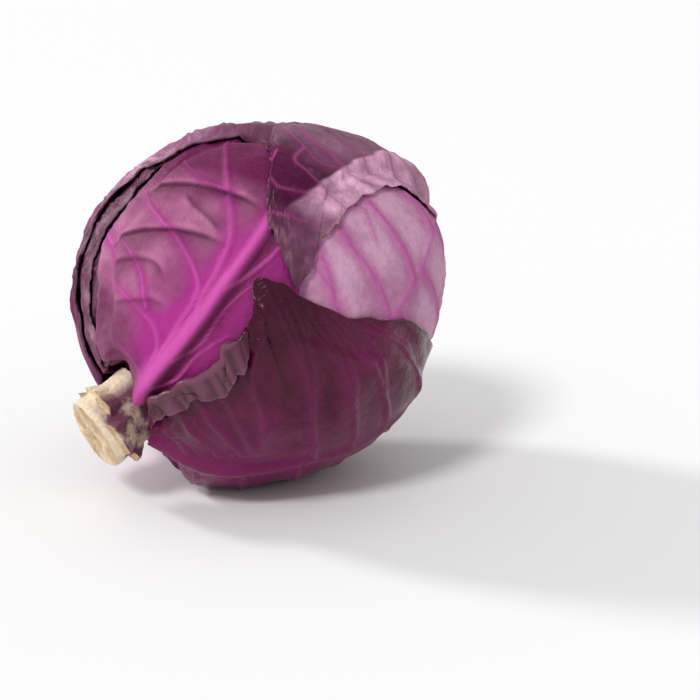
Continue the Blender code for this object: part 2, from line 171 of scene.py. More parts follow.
# Where the head bulges or dips: degrees from the stalk and round from the top, the
# height in mm, and how many degrees it spreads.
SWELLS = ((157, 60, 3, 36), (92, -34, -3, 40), (132, 0, -2.5, 26), (107, -20, 3, 14),
          (66, -40, 2.5, 22), (27, 165, 4.5, 16), (150, 92, 5, 26), (30, -60, -3, 14))
DIP_AT_STALK, DIP_SPREAD = 0.09, math.radians(20)
BLADE = 0.9 * MM
GAP = 0.45 * MM
MARGIN_GAP = 0.10 * MM
MARGIN_SINK = 12 * MM
MARGIN_BAND = 0.24
HELD_AT_BASE, HELD_AT_TIP = 0.12, 0.08
RIB_SWEEP = 0.38
TAUT_ROUNDS = 260
NET_CELL = 4.5 * MM
DRY_EDGE = (0.42, 0.24, 0.32, 1)
# The colour of the painted glint flecks, pale highlights on the leaves.
GLINT_FLECK_COLOUR = (0.34, 0.18, 0.25, 1)


def direction(from_stalk, around):
    """The unit vector towards a place: degrees from the stalk, and round from the top."""
    polar, turn = math.radians(from_stalk), math.radians(around)
    across = TOP_AXIS * math.cos(turn) + NEAR_AXIS * math.sin(turn)
    return np.array(STALK_AXIS * math.cos(polar) + across * math.sin(polar))


def unit(vectors):
    return vectors / np.linalg.norm(vectors, axis=-1, keepdims=True)


def slerp(first, last, share):
    """Directions on the great circle from first to last, at share of the way."""
    angle = np.arccos(np.clip((first * last).sum(-1, keepdims=True), -1, 1))
    angle = np.maximum(angle, 1e-6)
    mixed = np.sin((1 - share) * angle) * first + np.sin(share * angle) * last
    return unit(mixed / np.sin(angle))


def outer_radius(directions, depth):
    """The head's outer shape less depth: an egg that dips in round the stalk."""
    along = directions @ np.array(STALK_AXIS)
    length, width = HEAD_LENGTH / 2 - depth, HEAD_WIDTH / 2 - depth
    radius = 1 / np.sqrt(along**2 / length**2 + (1 - along**2) / width**2)
    for from_stalk, around, height, spread in SWELLS:
        off = np.arccos(np.clip(directions @ direction(from_stalk, around), -1, 1))
        radius = radius + height * MM * np.exp(-((off / math.radians(spread)) ** 2))
    polar = np.arccos(np.clip(along, -1, 1))
    return radius * (1 - DIP_AT_STALK * np.exp(-((polar / DIP_SPREAD) ** 2)))


def smooth_line(places, count, evenness=1.0):
    """count directions along a smooth curve through places, even by length or by place."""
    knots = [direction(*place) for place in places]
    knots = [2 * knots[0] - knots[1], *knots, 2 * knots[-1] - knots[-2]]
    line = []
    for a, b, c, d in zip(knots, knots[1:], knots[2:], knots[3:]):
        for t in np.linspace(0, 1, 12, endpoint=False):
            line.append(
                0.5 * (2 * b + (c - a) * t + (2 * a - 5 * b + 4 * c - d) * t**2
                       + (3 * b - a - 3 * c + d) * t**3)
            )
    line = unit(np.array([*line, knots[-2]]))
    steps = np.linalg.norm(np.diff(line, axis=0), axis=1)
    length = np.concatenate([[0], np.cumsum(steps)]) / steps.sum()
    place = evenness * length + (1 - evenness) * np.linspace(0, 1, len(line))
    even = np.linspace(0, 1, count)
    return unit(np.stack([np.interp(even, place, line[:, i]) for i in range(3)], -1))


class Leaf:
    """A leaf's outline on the head. near and far are its margins from base to tip. All
    places are given in degrees, from the stalk and round from the top."""

    POINTS = 300

    def __init__(self, centre, base, tip, near, far, waves):
        self.centre, self.base, self.tip = direction(*centre), direction(*base), direction(*tip)
        self.near = smooth_line([base, *near, tip], self.POINTS, 0.5)
        self.far = smooth_line([base, *far, tip], self.POINTS, 0.5)
        self.waves = waves

    def at(self, x, row):
        """Where x across and row along the leaf, each from -1 to 1, lie on the head."""
        spot = SimpleNamespace()
        y = row + RIB_SWEEP * np.abs(x) * (1 - row**2)
        right, ahead = x * np.sqrt(1 - y**2 / 2), y * np.sqrt(1 - x**2 / 2)
        spot.reach = np.hypot(right, ahead)
        spot.along = (ahead + 1) / 2
        spot.share = 1 - np.abs(np.arctan2(right, ahead)) / math.pi
        spot.side = np.where(right < 0, -1.0, 1.0)
        at = spot.share * (self.POINTS - 1)
        low = np.clip(at.astype(int), 0, self.POINTS - 2)
        part = (at - low)[..., None]
        near = unit(self.near[low] * (1 - part) + self.near[low + 1] * part)
        far = unit(self.far[low] * (1 - part) + self.far[low + 1] * part)
        spot.margin = np.where(spot.side[..., None] < 0, near, far)
        spot.phase = 2 * math.pi * self.waves * spot.share + 1.3 * spot.side
        from_base, from_tip = spot.share / HELD_AT_BASE, (1 - spot.share) / HELD_AT_TIP
        spot.free = np.clip(np.minimum(from_base, from_tip), 0, 1)
        notch = 0.028 * (0.5 + 0.5 * np.sin(1.3 * spot.phase) * np.sin(0.6 * spot.phase))
        notch = notch + 0.005 * (1 + np.sin(2.1 * spot.phase + 2 * np.sin(0.83 * spot.phase)))
        notch = notch * spot.reach**4 * spot.free
        centres = np.broadcast_to(self.centre, spot.margin.shape)
        spot.directions = slerp(centres, spot.margin, (spot.reach * (1 - notch))[..., None])
        spot.rim = np.clip((spot.reach - 1 + MARGIN_BAND) / MARGIN_BAND, 0, 1)
        return spot

    def grid(self, columns, rows):
        return self.at(*np.meshgrid(np.linspace(-1, 1, columns), np.linspace(-1, 1, rows)))


def ridge(distance, half_width):
    """1 on a line, falling smoothly to 0 at its half width."""
    share = np.clip(1 - distance / half_width, 0, 1)
    return share * share * (3 - 2 * share)


def from_line(spot, line):
    """How far each spot is from a line over the surface, how far along it, 0 to 1, and
    on which side of it, 1 on the left when one looks along it from outside."""
    flat = spot.directions.reshape(-1, 3)
    nearest = np.argmax(flat @ line.T, axis=1)
    best = np.full(len(flat), 1e9)
    place = np.zeros(len(flat))
    for step in (-1, 0):
        first = np.clip(nearest + step, 0, len(line) - 2)
        start, run = line[first], line[first + 1] - line[first]
        part = ((flat - start) * run).sum(-1) / np.maximum((run * run).sum(-1), 1e-12)
        part = np.clip(part, 0, 1)
        distance = np.linalg.norm(flat - start - run * part[:, None], axis=1)
        closer = distance < best
        best = np.where(closer, distance, best)
        place = np.where(closer, (first + part) / (len(line) - 1), place)
    shape = spot.directions.shape[:-1]
    near = np.clip(nearest, 0, len(line) - 2)
    left = np.cross(line[near + 1] - line[near], flat - line[near])
    side = np.sign((left * flat).sum(-1))
    return best.reshape(shape) * MEAN_RADIUS, place.reshape(shape), side.reshape(shape)


def midrib(leaf, width, height, end=0.94):
    """The thick middle vein: its line, half widths and heights in mm at base and tip."""
    share = np.linspace(0, end, 150)[:, None]
    first = slerp(leaf.base, leaf.centre, np.clip(share * 2, 0, 1))
    last = slerp(leaf.centre, leaf.tip, np.clip(share * 2 - 1, 0, 1))
    return np.where(share < 0.5, first, last), width, height


def side_veins(leaf, count, width, height, seed, first=-0.88, last=0.82, sides=(-1, 1)):
    """The veins that leave the midrib on both sides, each forking towards the margin."""
    dice = random.Random(seed)
    gap = (last - first) / count
    veins = []
    for side in sides:
        for number in range(count):
            root = first + gap * (number + 0.25 + 0.4 * (side > 0) + dice.uniform(-0.15, 0.15))
            bend, turn = dice.uniform(2.5, 5), dice.uniform(0, 6)
            rise = dice.uniform(-0.05, 0.2) * gap

            def row(part):
                return root + rise * part + 0.22 * gap * part * np.sin(bend * part + turn)

            part = np.linspace(0, 1, 110)
            line = leaf.at(side * 0.95 * part, np.clip(row(part), -0.97, 0.97)).directions
            veins.append((line, width, height))
            for start, way in ((dice.uniform(0.28, 0.45), 1), (dice.uniform(0.5, 0.72), -1)):
                part = np.linspace(start, 1, 70)
                off = way * dice.uniform(0.4, 0.6) * gap * ((part - start) / (1 - start)) ** 0.85
                rows = np.clip(row(part) + off, -0.97, 0.97)
                line = leaf.at(side * 0.95 * part, rows).directions
                thin = 1 - 0.75 * start
                veins.append((
                    line, (width[0] * thin, width[1] * 0.9), (height[0] * thin * 0.8, height[1])
                ))
    return veins


def raise_veins(spot, veins, glow=4.0):
    """How far veins stand out, where they are, and the flush of colour round them."""
    height, vein, flush = (np.zeros(spot.reach.shape) for _ in range(3))
    for line, widths, heights in veins:
        distance, place, _ = from_line(spot, line)
        width = (widths[0] + (widths[1] - widths[0]) * place) * MM
        rise = (heights[0] + (heights[1] - heights[0]) * place) * MM
        height = np.maximum(height, rise * ridge(distance, width))
        bright = 1 - 0.55 * place
        vein = np.maximum(vein, bright * ridge(distance, np.maximum(width * 0.62, 0.7 * MM)))
        flush = np.maximum(flush, bright * ridge(distance, width * glow))
    return height, vein, flush


def swell(spot, size, seed):
    """Soft hills and hollows of about size across, from 0 to 1."""
    shift = Vector((seed * 7.31, seed * 3.17, seed * 1.93))
    flat = spot.directions.reshape(-1, 3) * (MEAN_RADIUS / size)
    values = [noise.noise(Vector(place) + shift) for place in flat]
    return np.clip(0.5 + 0.8 * np.array(values).reshape(spot.reach.shape), 0, 1)


def blisters(spot, size, seed):
    """Rounded pillows of about size across with narrow valleys between, from 0 to 1."""
    count = int(4 * math.pi * (MEAN_RADIUS / size) ** 2)
    dice = random.Random(seed)
    tree = KDTree(count)
    for number in range(count):
        height = 1 - 2 * (number + 0.5) / count
        turn = number * math.pi * (3 - math.sqrt(5))
        reach = math.sqrt(1 - height * height)
        place = Vector((reach * math.cos(turn), reach * math.sin(turn), height))
        jitter = Vector([dice.uniform(-0.42, 0.42) for _ in range(3)]) * (size / MEAN_RADIUS)
        tree.insert((place + jitter).normalized(), number)
    tree.balance()
    pillows = []
    for place in spot.directions.reshape(-1, 3):
        (_, _, first), (_, _, second) = tree.find_n(place, 2)
        pillows.append((second - first) * MEAN_RADIUS / size)
    share = np.clip(np.array(pillows).reshape(spot.reach.shape) / 0.75, 0, 1)
    return share * share * (3 - 2 * share)


def ruffle(spot, height):
    """The waves of a free margin, up to height in mm."""
    wave = 0.5 + 0.5 * np.sin(spot.phase) * np.sin(0.43 * spot.phase + 0.7)
    curl = 0.5 + 0.5 * np.sin(2.3 * spot.phase + 2.5 * np.sin(0.7 * spot.phase))
    curl = curl * (0.5 + 0.5 * np.sin(0.9 * spot.phase + 2))
    narrow = np.clip((spot.reach - 0.9) / 0.1, 0, 1)
    return height * MM * spot.free * (spot.rim**2 * wave + 0.35 * narrow * curl)


def settle(spot, relief):
    """Relief that flattens towards a free margin, which lies on what is under it."""
    near = np.clip((spot.reach - 0.84) / 0.16, 0, 1)
    return relief * (1 - 0.8 * near * spot.free)


laid = []


def relaxed(radius, needed, rounds):
    """A taut sheet's radius: it gives way inwards, but never below what is needed."""
    for _ in range(rounds):
        padded = np.pad(radius, 1, mode="edge")
        mean = (padded[:-2, 1:-1] + padded[2:, 1:-1] + padded[1:-1, :-2] + padded[1:-1, 2:]) / 4
        radius = np.maximum(needed, mean)
    return radius


def drape(spot, level):
    """The radius of a leaf laid like a taut sheet over all that is already on the head,
    level mm inside its outer shape at least, whose free margin sinks onto what is under it."""
    under = np.zeros(spot.reach.shape)
    for index in np.ndindex(under.shape):
        ray = Vector(spot.directions[index])
        start = CENTRE + ray * HEAD_LENGTH
        for tree in laid:
            hit = tree.ray_cast(start, -ray, HEAD_LENGTH)[0]
            if hit:
                under[index] = max(under[index], (hit - CENTRE).length)
    rows, columns = under.shape
    padded = np.pad(under, 2, mode="edge")
    under = np.max([
        padded[row: row + rows, column: column + columns]
        for row in range(5) for column in range(5)
    ], axis=0) + BLADE + GAP
    needed = np.maximum(under, outer_radius(spot.directions, level * MM))
    radius = relaxed(needed, needed, TAUT_ROUNDS)
    touching = relaxed(under, under, 16)
    free = np.clip(spot.share / HELD_AT_BASE, 0, 1)
    touching -= (GAP - MARGIN_GAP) * spot.rim * free
    radius = np.maximum(touching, radius - MARGIN_SINK * spot.rim * free)
    return relaxed(radius, touching, 4)


def leaf_radius(spot, level, relief, waves):
    """The radius of a draped leaf with its relief, and margin waves of up to waves mm."""
    return drape(spot, level) + settle(spot, relief) + ruffle(spot, waves)


def leaf_points(spot, radius, floor):
    """The leaf's points, kept floor mm above the surface that the head rests on."""
    down = np.maximum(-spot.directions[..., 2], 1e-3)
    radius = np.minimum(radius, (CENTRE_HEIGHT - floor * MM) / down)
    points = np.array(CENTRE) + spot.directions * radius[..., None]
    return points.reshape(-1, 3)


def leaf_mesh(spot, points):
    """A grid of the leaf's outer face, with its faces outwards."""
    rows, columns = spot.reach.shape
    mesh = bmesh.new()
    bmesh.ops.create_grid(mesh, x_segments=columns - 1, y_segments=rows - 1, size=1)
    mesh.verts.index_update()
    for vert, point in zip(mesh.verts, points):
        vert.co = point
    mesh.normal_update()
    middle = max(mesh.faces, key=lambda face: (face.calc_center_median() - CENTRE).length)
    if middle.normal @ (middle.calc_center_median() - CENTRE) < 0:
        bmesh.ops.reverse_faces(mesh, faces=mesh.faces[:])
    return mesh


def placed(name, data):
    """A new object in the scene, at the origin."""
    made = bpy.data.objects.new(name, data)
    bpy.context.scene.collection.objects.link(made)
    return made


def leaf_piece(name, mesh, masks, skin):
    """The finished leaf: its masks on the vertices, its thickness, and its place."""
    mesh.normal_update()
    laid.append(BVHTree.FromBMesh(mesh))
    data = bpy.data.meshes.new(name + "_blade")
    mesh.to_mesh(data)
    mesh.free()
    for mask, values in masks.items():
        values = np.clip(values, 0, 1).reshape(-1).astype(np.float32)
        data.attributes.new(mask, "FLOAT", "POINT").data.foreach_set("value", values)
    data.shade_smooth()
    piece = placed(name + "_blade", data)
    data.materials.append(skin)
    thickness = piece.modifiers.new("thickness", "SOLIDIFY")
    thickness.thickness = BLADE
    thickness.offset = -1
    thickness.use_even_offset = False
    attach(piece, "root")
    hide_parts(name)


def lay_leaf(name, spot, radius, masks, skin, floor=9):
    """A leaf's piece straight from its grid and its radius at each spot."""
    leaf_piece(name, leaf_mesh(spot, leaf_points(spot, radius, floor)), masks, skin)


def leaf_masks(spot, vein, flush, bloom_and_highlight, shade=0.0):
    """The five masks that a leaf's material reads."""
    edge = np.zeros(spot.reach.shape)
    edge[0], edge[-1], edge[:, 0], edge[:, -1] = 1, 1, 1, 1
    shade = shade + np.zeros(spot.reach.shape)
    return {"vein": vein, "flush": flush, "bloom_and_highlight": bloom_and_highlight, "shade": shade, "edge": edge * spot.free}


def leaf_skin(name, deep, mid, dusty_and_highlight, glow, ribs, gloss=0.36, glint_flecks=0.0, shine=0.12):
    """Leaf skin: dark and mid tones in clouds, a dusty bloom that also carries painted highlights,
    painted shade, pale painted glint flecks, bright veins and a pale edge.
    """
    skin = Skin(name, Specular_IOR_Level=shine)
    place = skin.place()
    broad = skin.clouds(place, 22 * MM, 3.0)
    fine = skin.clouds(place, 3.2 * MM, 4.0, 0.65)
    net = skin.network(place, NET_CELL)
    fine_net = skin.network(place, 0.4 * NET_CELL)
    vein, flush, edge = skin.mask("vein"), skin.mask("flush"), skin.mask("edge")
    # The bloom mask is the waxy bloom and, on some leaves, painted highlights in the same pale
    # colour.
    bloom_and_highlight = skin.mask("bloom_and_highlight") * (0.6 + 0.8 * skin.ramp(broad + 0.35 * fine, 0.45, 0.95))
    colour = skin.mix(skin.ramp(broad + 0.5 * fine, 0.5, 1.0), deep, mid)
    colour = skin.mix(bloom_and_highlight, colour, dusty_and_highlight)
    colour = skin.mix(flush * 0.9, colour, glow)
    colour = skin.mix(net * 0.13 + fine_net * 0.05, colour, glow)
    colour = skin.mix(vein, colour, ribs)
    # Painted shade: the shade mask darkens the colour towards 0.6 of the deep tone, in creases,
    # below folds, in valleys, cracks and crevices, and as a darker tone elsewhere.
    painted_shade_colour = [channel * 0.6 for channel in deep[:3]] + [1]
    colour = skin.mix(skin.mask("shade") * (0.75 + 0.3 * fine), colour, painted_shade_colour)
    # Painted highlight: pale specks where a noise passes a threshold, standing in for glints of
    # light on the leaf.
    if glint_flecks:
        painted_glints = skin.ramp(skin.clouds(place, 8 * MM, 5.0, 0.62), 0.58, 0.72)
        colour = skin.mix(painted_glints * glint_flecks, colour, GLINT_FLECK_COLOUR)
    colour = skin.mix(edge * 0.35, colour, DRY_EDGE)
    roughness = gloss + 0.22 * bloom_and_highlight + 0.12 * fine
    height = net * 0.35 + fine_net * 0.15 + fine * 0.5
    return skin.finish(colour, roughness, height, 0.22 * MM)


laid.append(BVHTree.FromPolygons(
    [vert.co.copy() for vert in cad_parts["heart"].data.vertices],
    [list(face.vertices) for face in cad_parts["heart"].data.polygons],
))

under_leaf = Leaf(
    centre=(74, 2), base=(13.8, -25), tip=(128, -20),
    near=((14.5, 10), (22, 34), (40, 34), (62, 30), (84, 28), (106, 20)),
    far=((14.5, -32), (24, -34), (45, -32), (75, -28), (105, -26)), waves=6,
)
under_spot = under_leaf.grid(columns=90, rows=110)
under_height, under_vein, under_flush = raise_veins(
    under_spot,
    [midrib(under_leaf, width=(6, 2), height=(2.0, 0.4)),
     *side_veins(under_leaf, 4, width=(2.4, 1.0), height=(0.9, 0.25), seed=3)],
)
under_relief = under_height + 0.5 * MM * swell(under_spot, 12 * MM, 1)
under_radius = leaf_radius(under_spot, level=9.6, relief=under_relief, waves=0.5)
lay_leaf(
    "under_leaf", under_spot, under_radius,
    masks=leaf_masks(under_spot, under_vein, under_flush, 0.2 * under_spot.rim),
    skin=leaf_skin(
        "under_leaf_skin", deep=(0.07, 0.010, 0.035, 1), mid=(0.14, 0.030, 0.075, 1),
        dusty_and_highlight=(0.22, 0.11, 0.15, 1), glow=(0.17, 0.03, 0.10, 1), ribs=(0.26, 0.07, 0.17, 1),
    ),
)

# Right leaf: the pale leaf that shows at the right below the crown leaf's margin.
# A fresh blade with a thick waxy bloom, mauve with thin magenta veins.

right_leaf = Leaf(
    centre=(92, 96), base=(13.8, 105), tip=(160, 70),
    near=((15, 70), (24, 50), (45, 42), (70, 38), (95, 36), (125, 30), (148, 40)),
    far=((15, 145), (26, 160), (50, 160), (80, 156), (110, 150), (140, 140)), waves=7,
)
right_spot = right_leaf.grid(columns=130, rows=160)
right_height, right_vein, right_flush = raise_veins(
    right_spot,
    [midrib(right_leaf, width=(7, 2), height=(2.6, 0.6)),
     *side_veins(right_leaf, 7, width=(2.2, 1.0), height=(1.3, 0.35), seed=11),
     (smooth_line(((104, 50), (116.7, 57.4), (116.1, 63.8), (114, 69.9)), 90),
      (1.6, 1.0), (0.8, 0.3)),
     (smooth_line(((131, 52), (137.5, 68.2), (136.1, 75.9), (133.8, 83.7)), 90),
      (1.6, 1.0), (0.8, 0.3))],
)
right_relief = right_height + 0.9 * MM * swell(right_spot, 16 * MM, 2)
right_relief += 0.35 * MM * blisters(right_spot, 7 * MM, 21) * (1 - right_vein)
right_radius = leaf_radius(right_spot, level=6.4, relief=right_relief, waves=0.6)
lay_leaf(
    "right_leaf", right_spot, right_radius, floor=5.8,
    masks=leaf_masks(
        right_spot, right_vein, 0.7 * right_flush,
        np.clip(right_spot.along * 2 - 0.3, 0, 1) * (1 - 0.5 * right_flush),
    ),
    skin=leaf_skin(
        "right_leaf_skin", deep=(0.26, 0.060, 0.17, 1), mid=(0.44, 0.15, 0.30, 1),
        dusty_and_highlight=(0.61, 0.35, 0.49, 1), glow=(0.46, 0.11, 0.32, 1), ribs=(0.48, 0.08, 0.33, 1),
        gloss=0.38,
    ),
)

# Back inner leaf: a leaf of the far underside, mostly under the back leaf and the
# lower leaf. A fresh dark blade whose crown end shows between its neighbours.

back_inner_leaf = Leaf(
    centre=(80, 200), base=(13.8, 205), tip=(150, 215),
    near=((15, 170), (26, 140), (50, 134), (80, 132), (112, 134), (138, 150)),
    far=((15, 240), (26, 262), (50, 270), (85, 270), (120, 268), (142, 255)), waves=7,
)
back_inner_spot = back_inner_leaf.grid(columns=110, rows=140)
back_inner_height, back_inner_vein, back_inner_flush = raise_veins(
    back_inner_spot,
    [midrib(back_inner_leaf, width=(7, 2), height=(2.4, 0.5)),
     *side_veins(back_inner_leaf, 6, width=(2.2, 1.0), height=(1.2, 0.35), seed=17)],
)
back_inner_relief = back_inner_height + 0.8 * MM * swell(back_inner_spot, 15 * MM, 3)
back_inner_radius = leaf_radius(back_inner_spot, level=8.2, relief=back_inner_relief, waves=0.7)
lay_leaf(
    "back_inner_leaf", back_inner_spot, back_inner_radius, floor=3.9,
    masks=leaf_masks(
        back_inner_spot, back_inner_vein, 0.6 * back_inner_flush,
        0.5 * back_inner_spot.along,
    ),
    skin=leaf_skin(
        "back_inner_leaf_skin", deep=(0.10, 0.012, 0.05, 1), mid=(0.19, 0.035, 0.11, 1),
        dusty_and_highlight=(0.30, 0.13, 0.21, 1), glow=(0.24, 0.03, 0.15, 1), ribs=(0.34, 0.07, 0.23, 1),
    ),
)

# Left inner and left outer leaf: two leaves whose free margins lie one over the other
# at the left. Thin dark fresh blades, crumpled and pleated along the margin, with a
# pale dry edge.

# Their dusty colour is also the colour of painted highlights on these leaves.
LEFT_SKIN = {
    "deep": (0.050, 0.010, 0.026, 1), "mid": (0.16, 0.042, 0.085, 1),
    "dusty_and_highlight": (0.46, 0.30, 0.37, 1), "glow": (0.17, 0.030, 0.10, 1),
    "ribs": (0.28, 0.08, 0.18, 1), "gloss": 0.34,
}


def degrees_from_stalk(spot):
    return np.degrees(np.arccos(spot.directions @ np.array(STALK_AXIS)))


def pleats(spot, size, height, side):
    """Sharp folds that run along one margin, one behind the other."""
    inside = (1 - spot.reach) * 58 * MM
    sway = 1.6 * MM * np.sin(1.1 * spot.phase) + 0.8 * MM * np.sin(2.9 * spot.phase + 1)
    saw = np.abs(((inside + sway) / size) % 1 - 0.5) * 2
    band = ridge(np.abs(inside - 6 * MM), 9 * MM)
    return height * MM * saw**2 * band * spot.free * (spot.side == side)


left_inner_leaf = Leaf(
    centre=(72, -34), base=(13.8, -34), tip=(112, -30),
    near=((14.2, -12), (21, -3), (32, -1), (46, -4), (62, -5), (82, -3), (100, -6)),
    far=((15, -58), (26, -68), (50, -70), (80, -66), (102, -52)), waves=8,
)
left_inner_spot = left_inner_leaf.grid(columns=110, rows=150)
left_inner_height, left_inner_vein, left_inner_flush = raise_veins(
    left_inner_spot,
    [midrib(left_inner_leaf, width=(6, 2), height=(1.0, 0.4)),
     *side_veins(left_inner_leaf, 6, width=(2.0, 0.9), height=(1.0, 0.4), seed=23)],
)
left_inner_radius = drape(left_inner_spot, level=7.2) + settle(left_inner_spot, left_inner_height)
left_shown = np.clip((104 - degrees_from_stalk(left_inner_spot)) / 14, 0.2, 1)
left_inner_radius += left_shown * (
    settle(left_inner_spot, 0.7 * MM * swell(left_inner_spot, 8 * MM, 4))
    + ruffle(left_inner_spot, height=0.5) + pleats(left_inner_spot, 4.6 * MM, height=1.0, side=-1)
)
lay_leaf(
    "left_inner_leaf", left_inner_spot, left_inner_radius,
    masks=leaf_masks(
        left_inner_spot, left_inner_vein, 0.5 * left_inner_flush,
        0.3 * swell(left_inner_spot, 8 * MM, 31), 0.4,
    ),
    skin=leaf_skin("left_inner_leaf_skin", **LEFT_SKIN),
)

left_outer_leaf = Leaf(
    centre=(72, -50), base=(13.8, -50), tip=(114, -28),
    near=((14.4, -28), (22, -16), (33, -19), (44, -19.5), (53, -19), (62, -16), (72, -13),
          (84, -14), (101, -15)),
    far=((15, -80), (26, -92), (50, -96), (80, -90), (102, -72)), waves=8,
)
left_outer_spot = left_outer_leaf.grid(columns=120, rows=160)
left_outer_height, left_outer_vein, left_outer_flush = raise_veins(
    left_outer_spot,
    [midrib(left_outer_leaf, width=(7, 2), height=(1.2, 0.5)),
     *side_veins(left_outer_leaf, 6, width=(2.2, 0.9), height=(1.1, 0.4), seed=29)],
)
left_outer_radius = drape(left_outer_spot, level=4.4) + settle(left_outer_spot, left_outer_height)
left_shown = np.clip((104 - degrees_from_stalk(left_outer_spot)) / 14, 0.2, 1)
left_outer_radius += left_shown * (
    settle(left_outer_spot, 1.2 * MM * swell(left_outer_spot, 9 * MM, 5))
    + settle(left_outer_spot, 0.5 * MM * swell(left_outer_spot, 4 * MM, 15))
    + ruffle(left_outer_spot, height=0.6) + pleats(left_outer_spot, 4.4 * MM, height=1.1, side=-1)
)
lay_leaf(
    "left_outer_leaf", left_outer_spot, left_outer_radius,
    masks=leaf_masks(
        left_outer_spot, left_outer_vein, 0.5 * left_outer_flush,
        # The bloom streaks here are partly painted highlight.
        0.7 * swell(left_outer_spot, 7 * MM, 32) ** 2, 0.3 * swell(left_outer_spot, 5 * MM, 36),
    ),
    skin=leaf_skin("left_outer_leaf_skin", **LEFT_SKIN, glint_flecks=0.6),
)

# Back leaf: the wrapper leaf of the side away from the front leaf. A large fresh
# blade with a thick midrib, dark and dusty like its neighbours.

back_leaf = Leaf(
    centre=(82, 238), base=(13.8, 242), tip=(150, 236),
    near=((15, 205), (26, 176), (48, 172), (80, 172), (112, 174), (136, 194)),
    far=((15, 278), (24, 288), (48, 290), (80, 288), (112, 284), (138, 268)), waves=8,
)
back_spot = back_leaf.grid(columns=150, rows=180)
back_height, back_vein, back_flush = raise_veins(
    back_spot,
    [midrib(back_leaf, width=(8, 2.4), height=(3.4, 0.8)),
     *side_veins(back_leaf, 7, width=(2.6, 1.1), height=(1.9, 0.45), seed=37)],
)
back_relief = back_height + 1.0 * MM * swell(back_spot, 17 * MM, 6)
back_relief += 0.4 * MM * blisters(back_spot, 8 * MM, 41) * (1 - back_vein)
back_radius = leaf_radius(back_spot, level=4.2, relief=back_relief, waves=1.1)
lay_leaf(
    "back_leaf", back_spot, back_radius, floor=2.0,
    masks=leaf_masks(
        back_spot, back_vein, np.clip(back_flush * 0.8 + 0.9 - 3 * back_spot.along, 0, 1),
        (1 - back_flush) * np.clip(1.5 * back_spot.along, 0, 1),
    ),
    skin=leaf_skin(
        "back_leaf_skin", deep=(0.11, 0.014, 0.055, 1), mid=(0.21, 0.035, 0.12, 1),
        dusty_and_highlight=(0.34, 0.14, 0.23, 1), glow=(0.32, 0.04, 0.20, 1), ribs=(0.42, 0.08, 0.28, 1),
    ),
)

# Front leaf: the large bright leaf that faces the camera. A fresh blade with a thick
# fleshy midrib from the stalk, side veins bent up to the crown, and soft folds across
# the panels between them.

front_leaf = Leaf(
    centre=(68, 50), base=(13.8, 66), tip=(126, 30),
    near=((14.2, 30), (14.8, -2), (17.5, -18), (22, -16), (27, -8), (33.4, -4.5), (38.4, -7),
          (45, -10), (53, -13.5), (60, -13.5), (66, -11), (72, -9), (80, -9.5), (90, -11),
          (98, -12), (106, -10), (114, -6), (120, 2)),
    far=((15, 88), (24, 100), (42, 102), (62, 94), (76, 76), (87, 60), (99, 50), (113, 42)),
    waves=9,
)
FRONT_MIDRIB = ((14.6, 66), (21, 60.5), (28.7, 57.8), (37, 56.3), (44.2, 55.2), (51, 53.8),
                (57.1, 52.5), (62.7, 51), (68, 49.8), (73, 48.7), (80.8, 46.8), (90, 44),
                (102, 40))
# Each vein: its places from the midrib outwards, then its half widths and its heights
# in mm at both ends.
FRONT_VEINS = (
    (((50, 54), (57.8, 48.5), (64.5, 46.2), (70.8, 43.8), (76.9, 40.2), (81.9, 34.9),
      (86.4, 28.7), (92.1, 20.9), (99.8, 10.4), (106.7, -0.5)), (3.4, 1.6), (1.3, 0.5)),
    (((30, 57), (36.9, 51.8), (44.4, 49.8), (50.5, 48.2), (55.5, 47.3), (60, 44.6),
      (62.8, 38.6), (64.6, 32.7), (66.3, 26.1), (67.5, 17.3), (69.7, 7.1), (72.7, -2)),
     (3.0, 1.4), (1.2, 0.4)),
    (((22, 61), (32.1, 51), (36.6, 49), (39.6, 46.1), (41.7, 40.4), (42, 33.5), (42.6, 25.2),
      (44, 12)), (2.8, 1.3), (1.0, 0.35)),
    (((57, -11.7), (53.4, -3), (48.8, 5.4)), (2.2, 1.4), (0.8, 0.3)),
    (((86.5, 28.6), (85.1, 19), (86, 10.3), (89.4, -0.3)), (2.0, 1.2), (0.8, 0.4)),
    (((44, 33), (50, 24), (54, 14), (56, 5)), (1.6, 0.9), (0.6, 0.25)),
    (((22, 62), (24, 52), (27, 38), (28, 22)), (2.2, 1.0), (0.8, 0.3)),
    (((26, 62), (35.5, 66.3), (44.1, 63.4), (51.2, 63.3), (57, 64.2)), (2.4, 1.0), (0.9, 0.3)),
    (((38, 58), (48.8, 60.4), (59.7, 56.8), (67.1, 56.2), (71.8, 56.4)), (2.2, 1.0), (0.8, 0.3)),
    (((20, 68), (25.6, 73.4), (34.8, 70.5), (43.2, 71.5), (53.1, 70)), (2.2, 1.0), (0.8, 0.3)),
    (((62, 51), (72, 53), (84, 53), (92, 51)), (2.8, 2.4), (0.6, 0.3)),
)
# Each fold: its places, its depth in mm, and how many mm it spreads.
FRONT_FOLDS = (
    (((74.6, -5), (74.8, -2), (77.5, 6.5), (80.5, 13.5), (83.2, 21.4), (86.4, 28.7),
      (88.5, 34.8), (90, 41.4)), 1.6, 9),
    (((53, -5), (55.4, 0.6), (57.8, 3.7), (61.3, 11.4), (66.3, 21.9), (70.2, 30.3), (73.1, 38),
      (74.3, 42.3)), 1.4, 9),
    (((75.4, 38), (76.2, 33.1), (76.5, 29.1), (76.7, 23.6), (78.6, 16.6)), 1.0, 5),
    (((48, 3), (51.8, 11.5), (54.6, 18.9), (56.1, 24.7), (55.7, 29.5), (53, 34)), 0.9, 6),
    (((38, 12), (44.2, 27.5), (47, 33.5), (48.5, 41)), 0.7, 6),
    (((86.5, 27), (84.6, 19), (85.4, 10.3), (88, 2)), 0.8, 5),
)
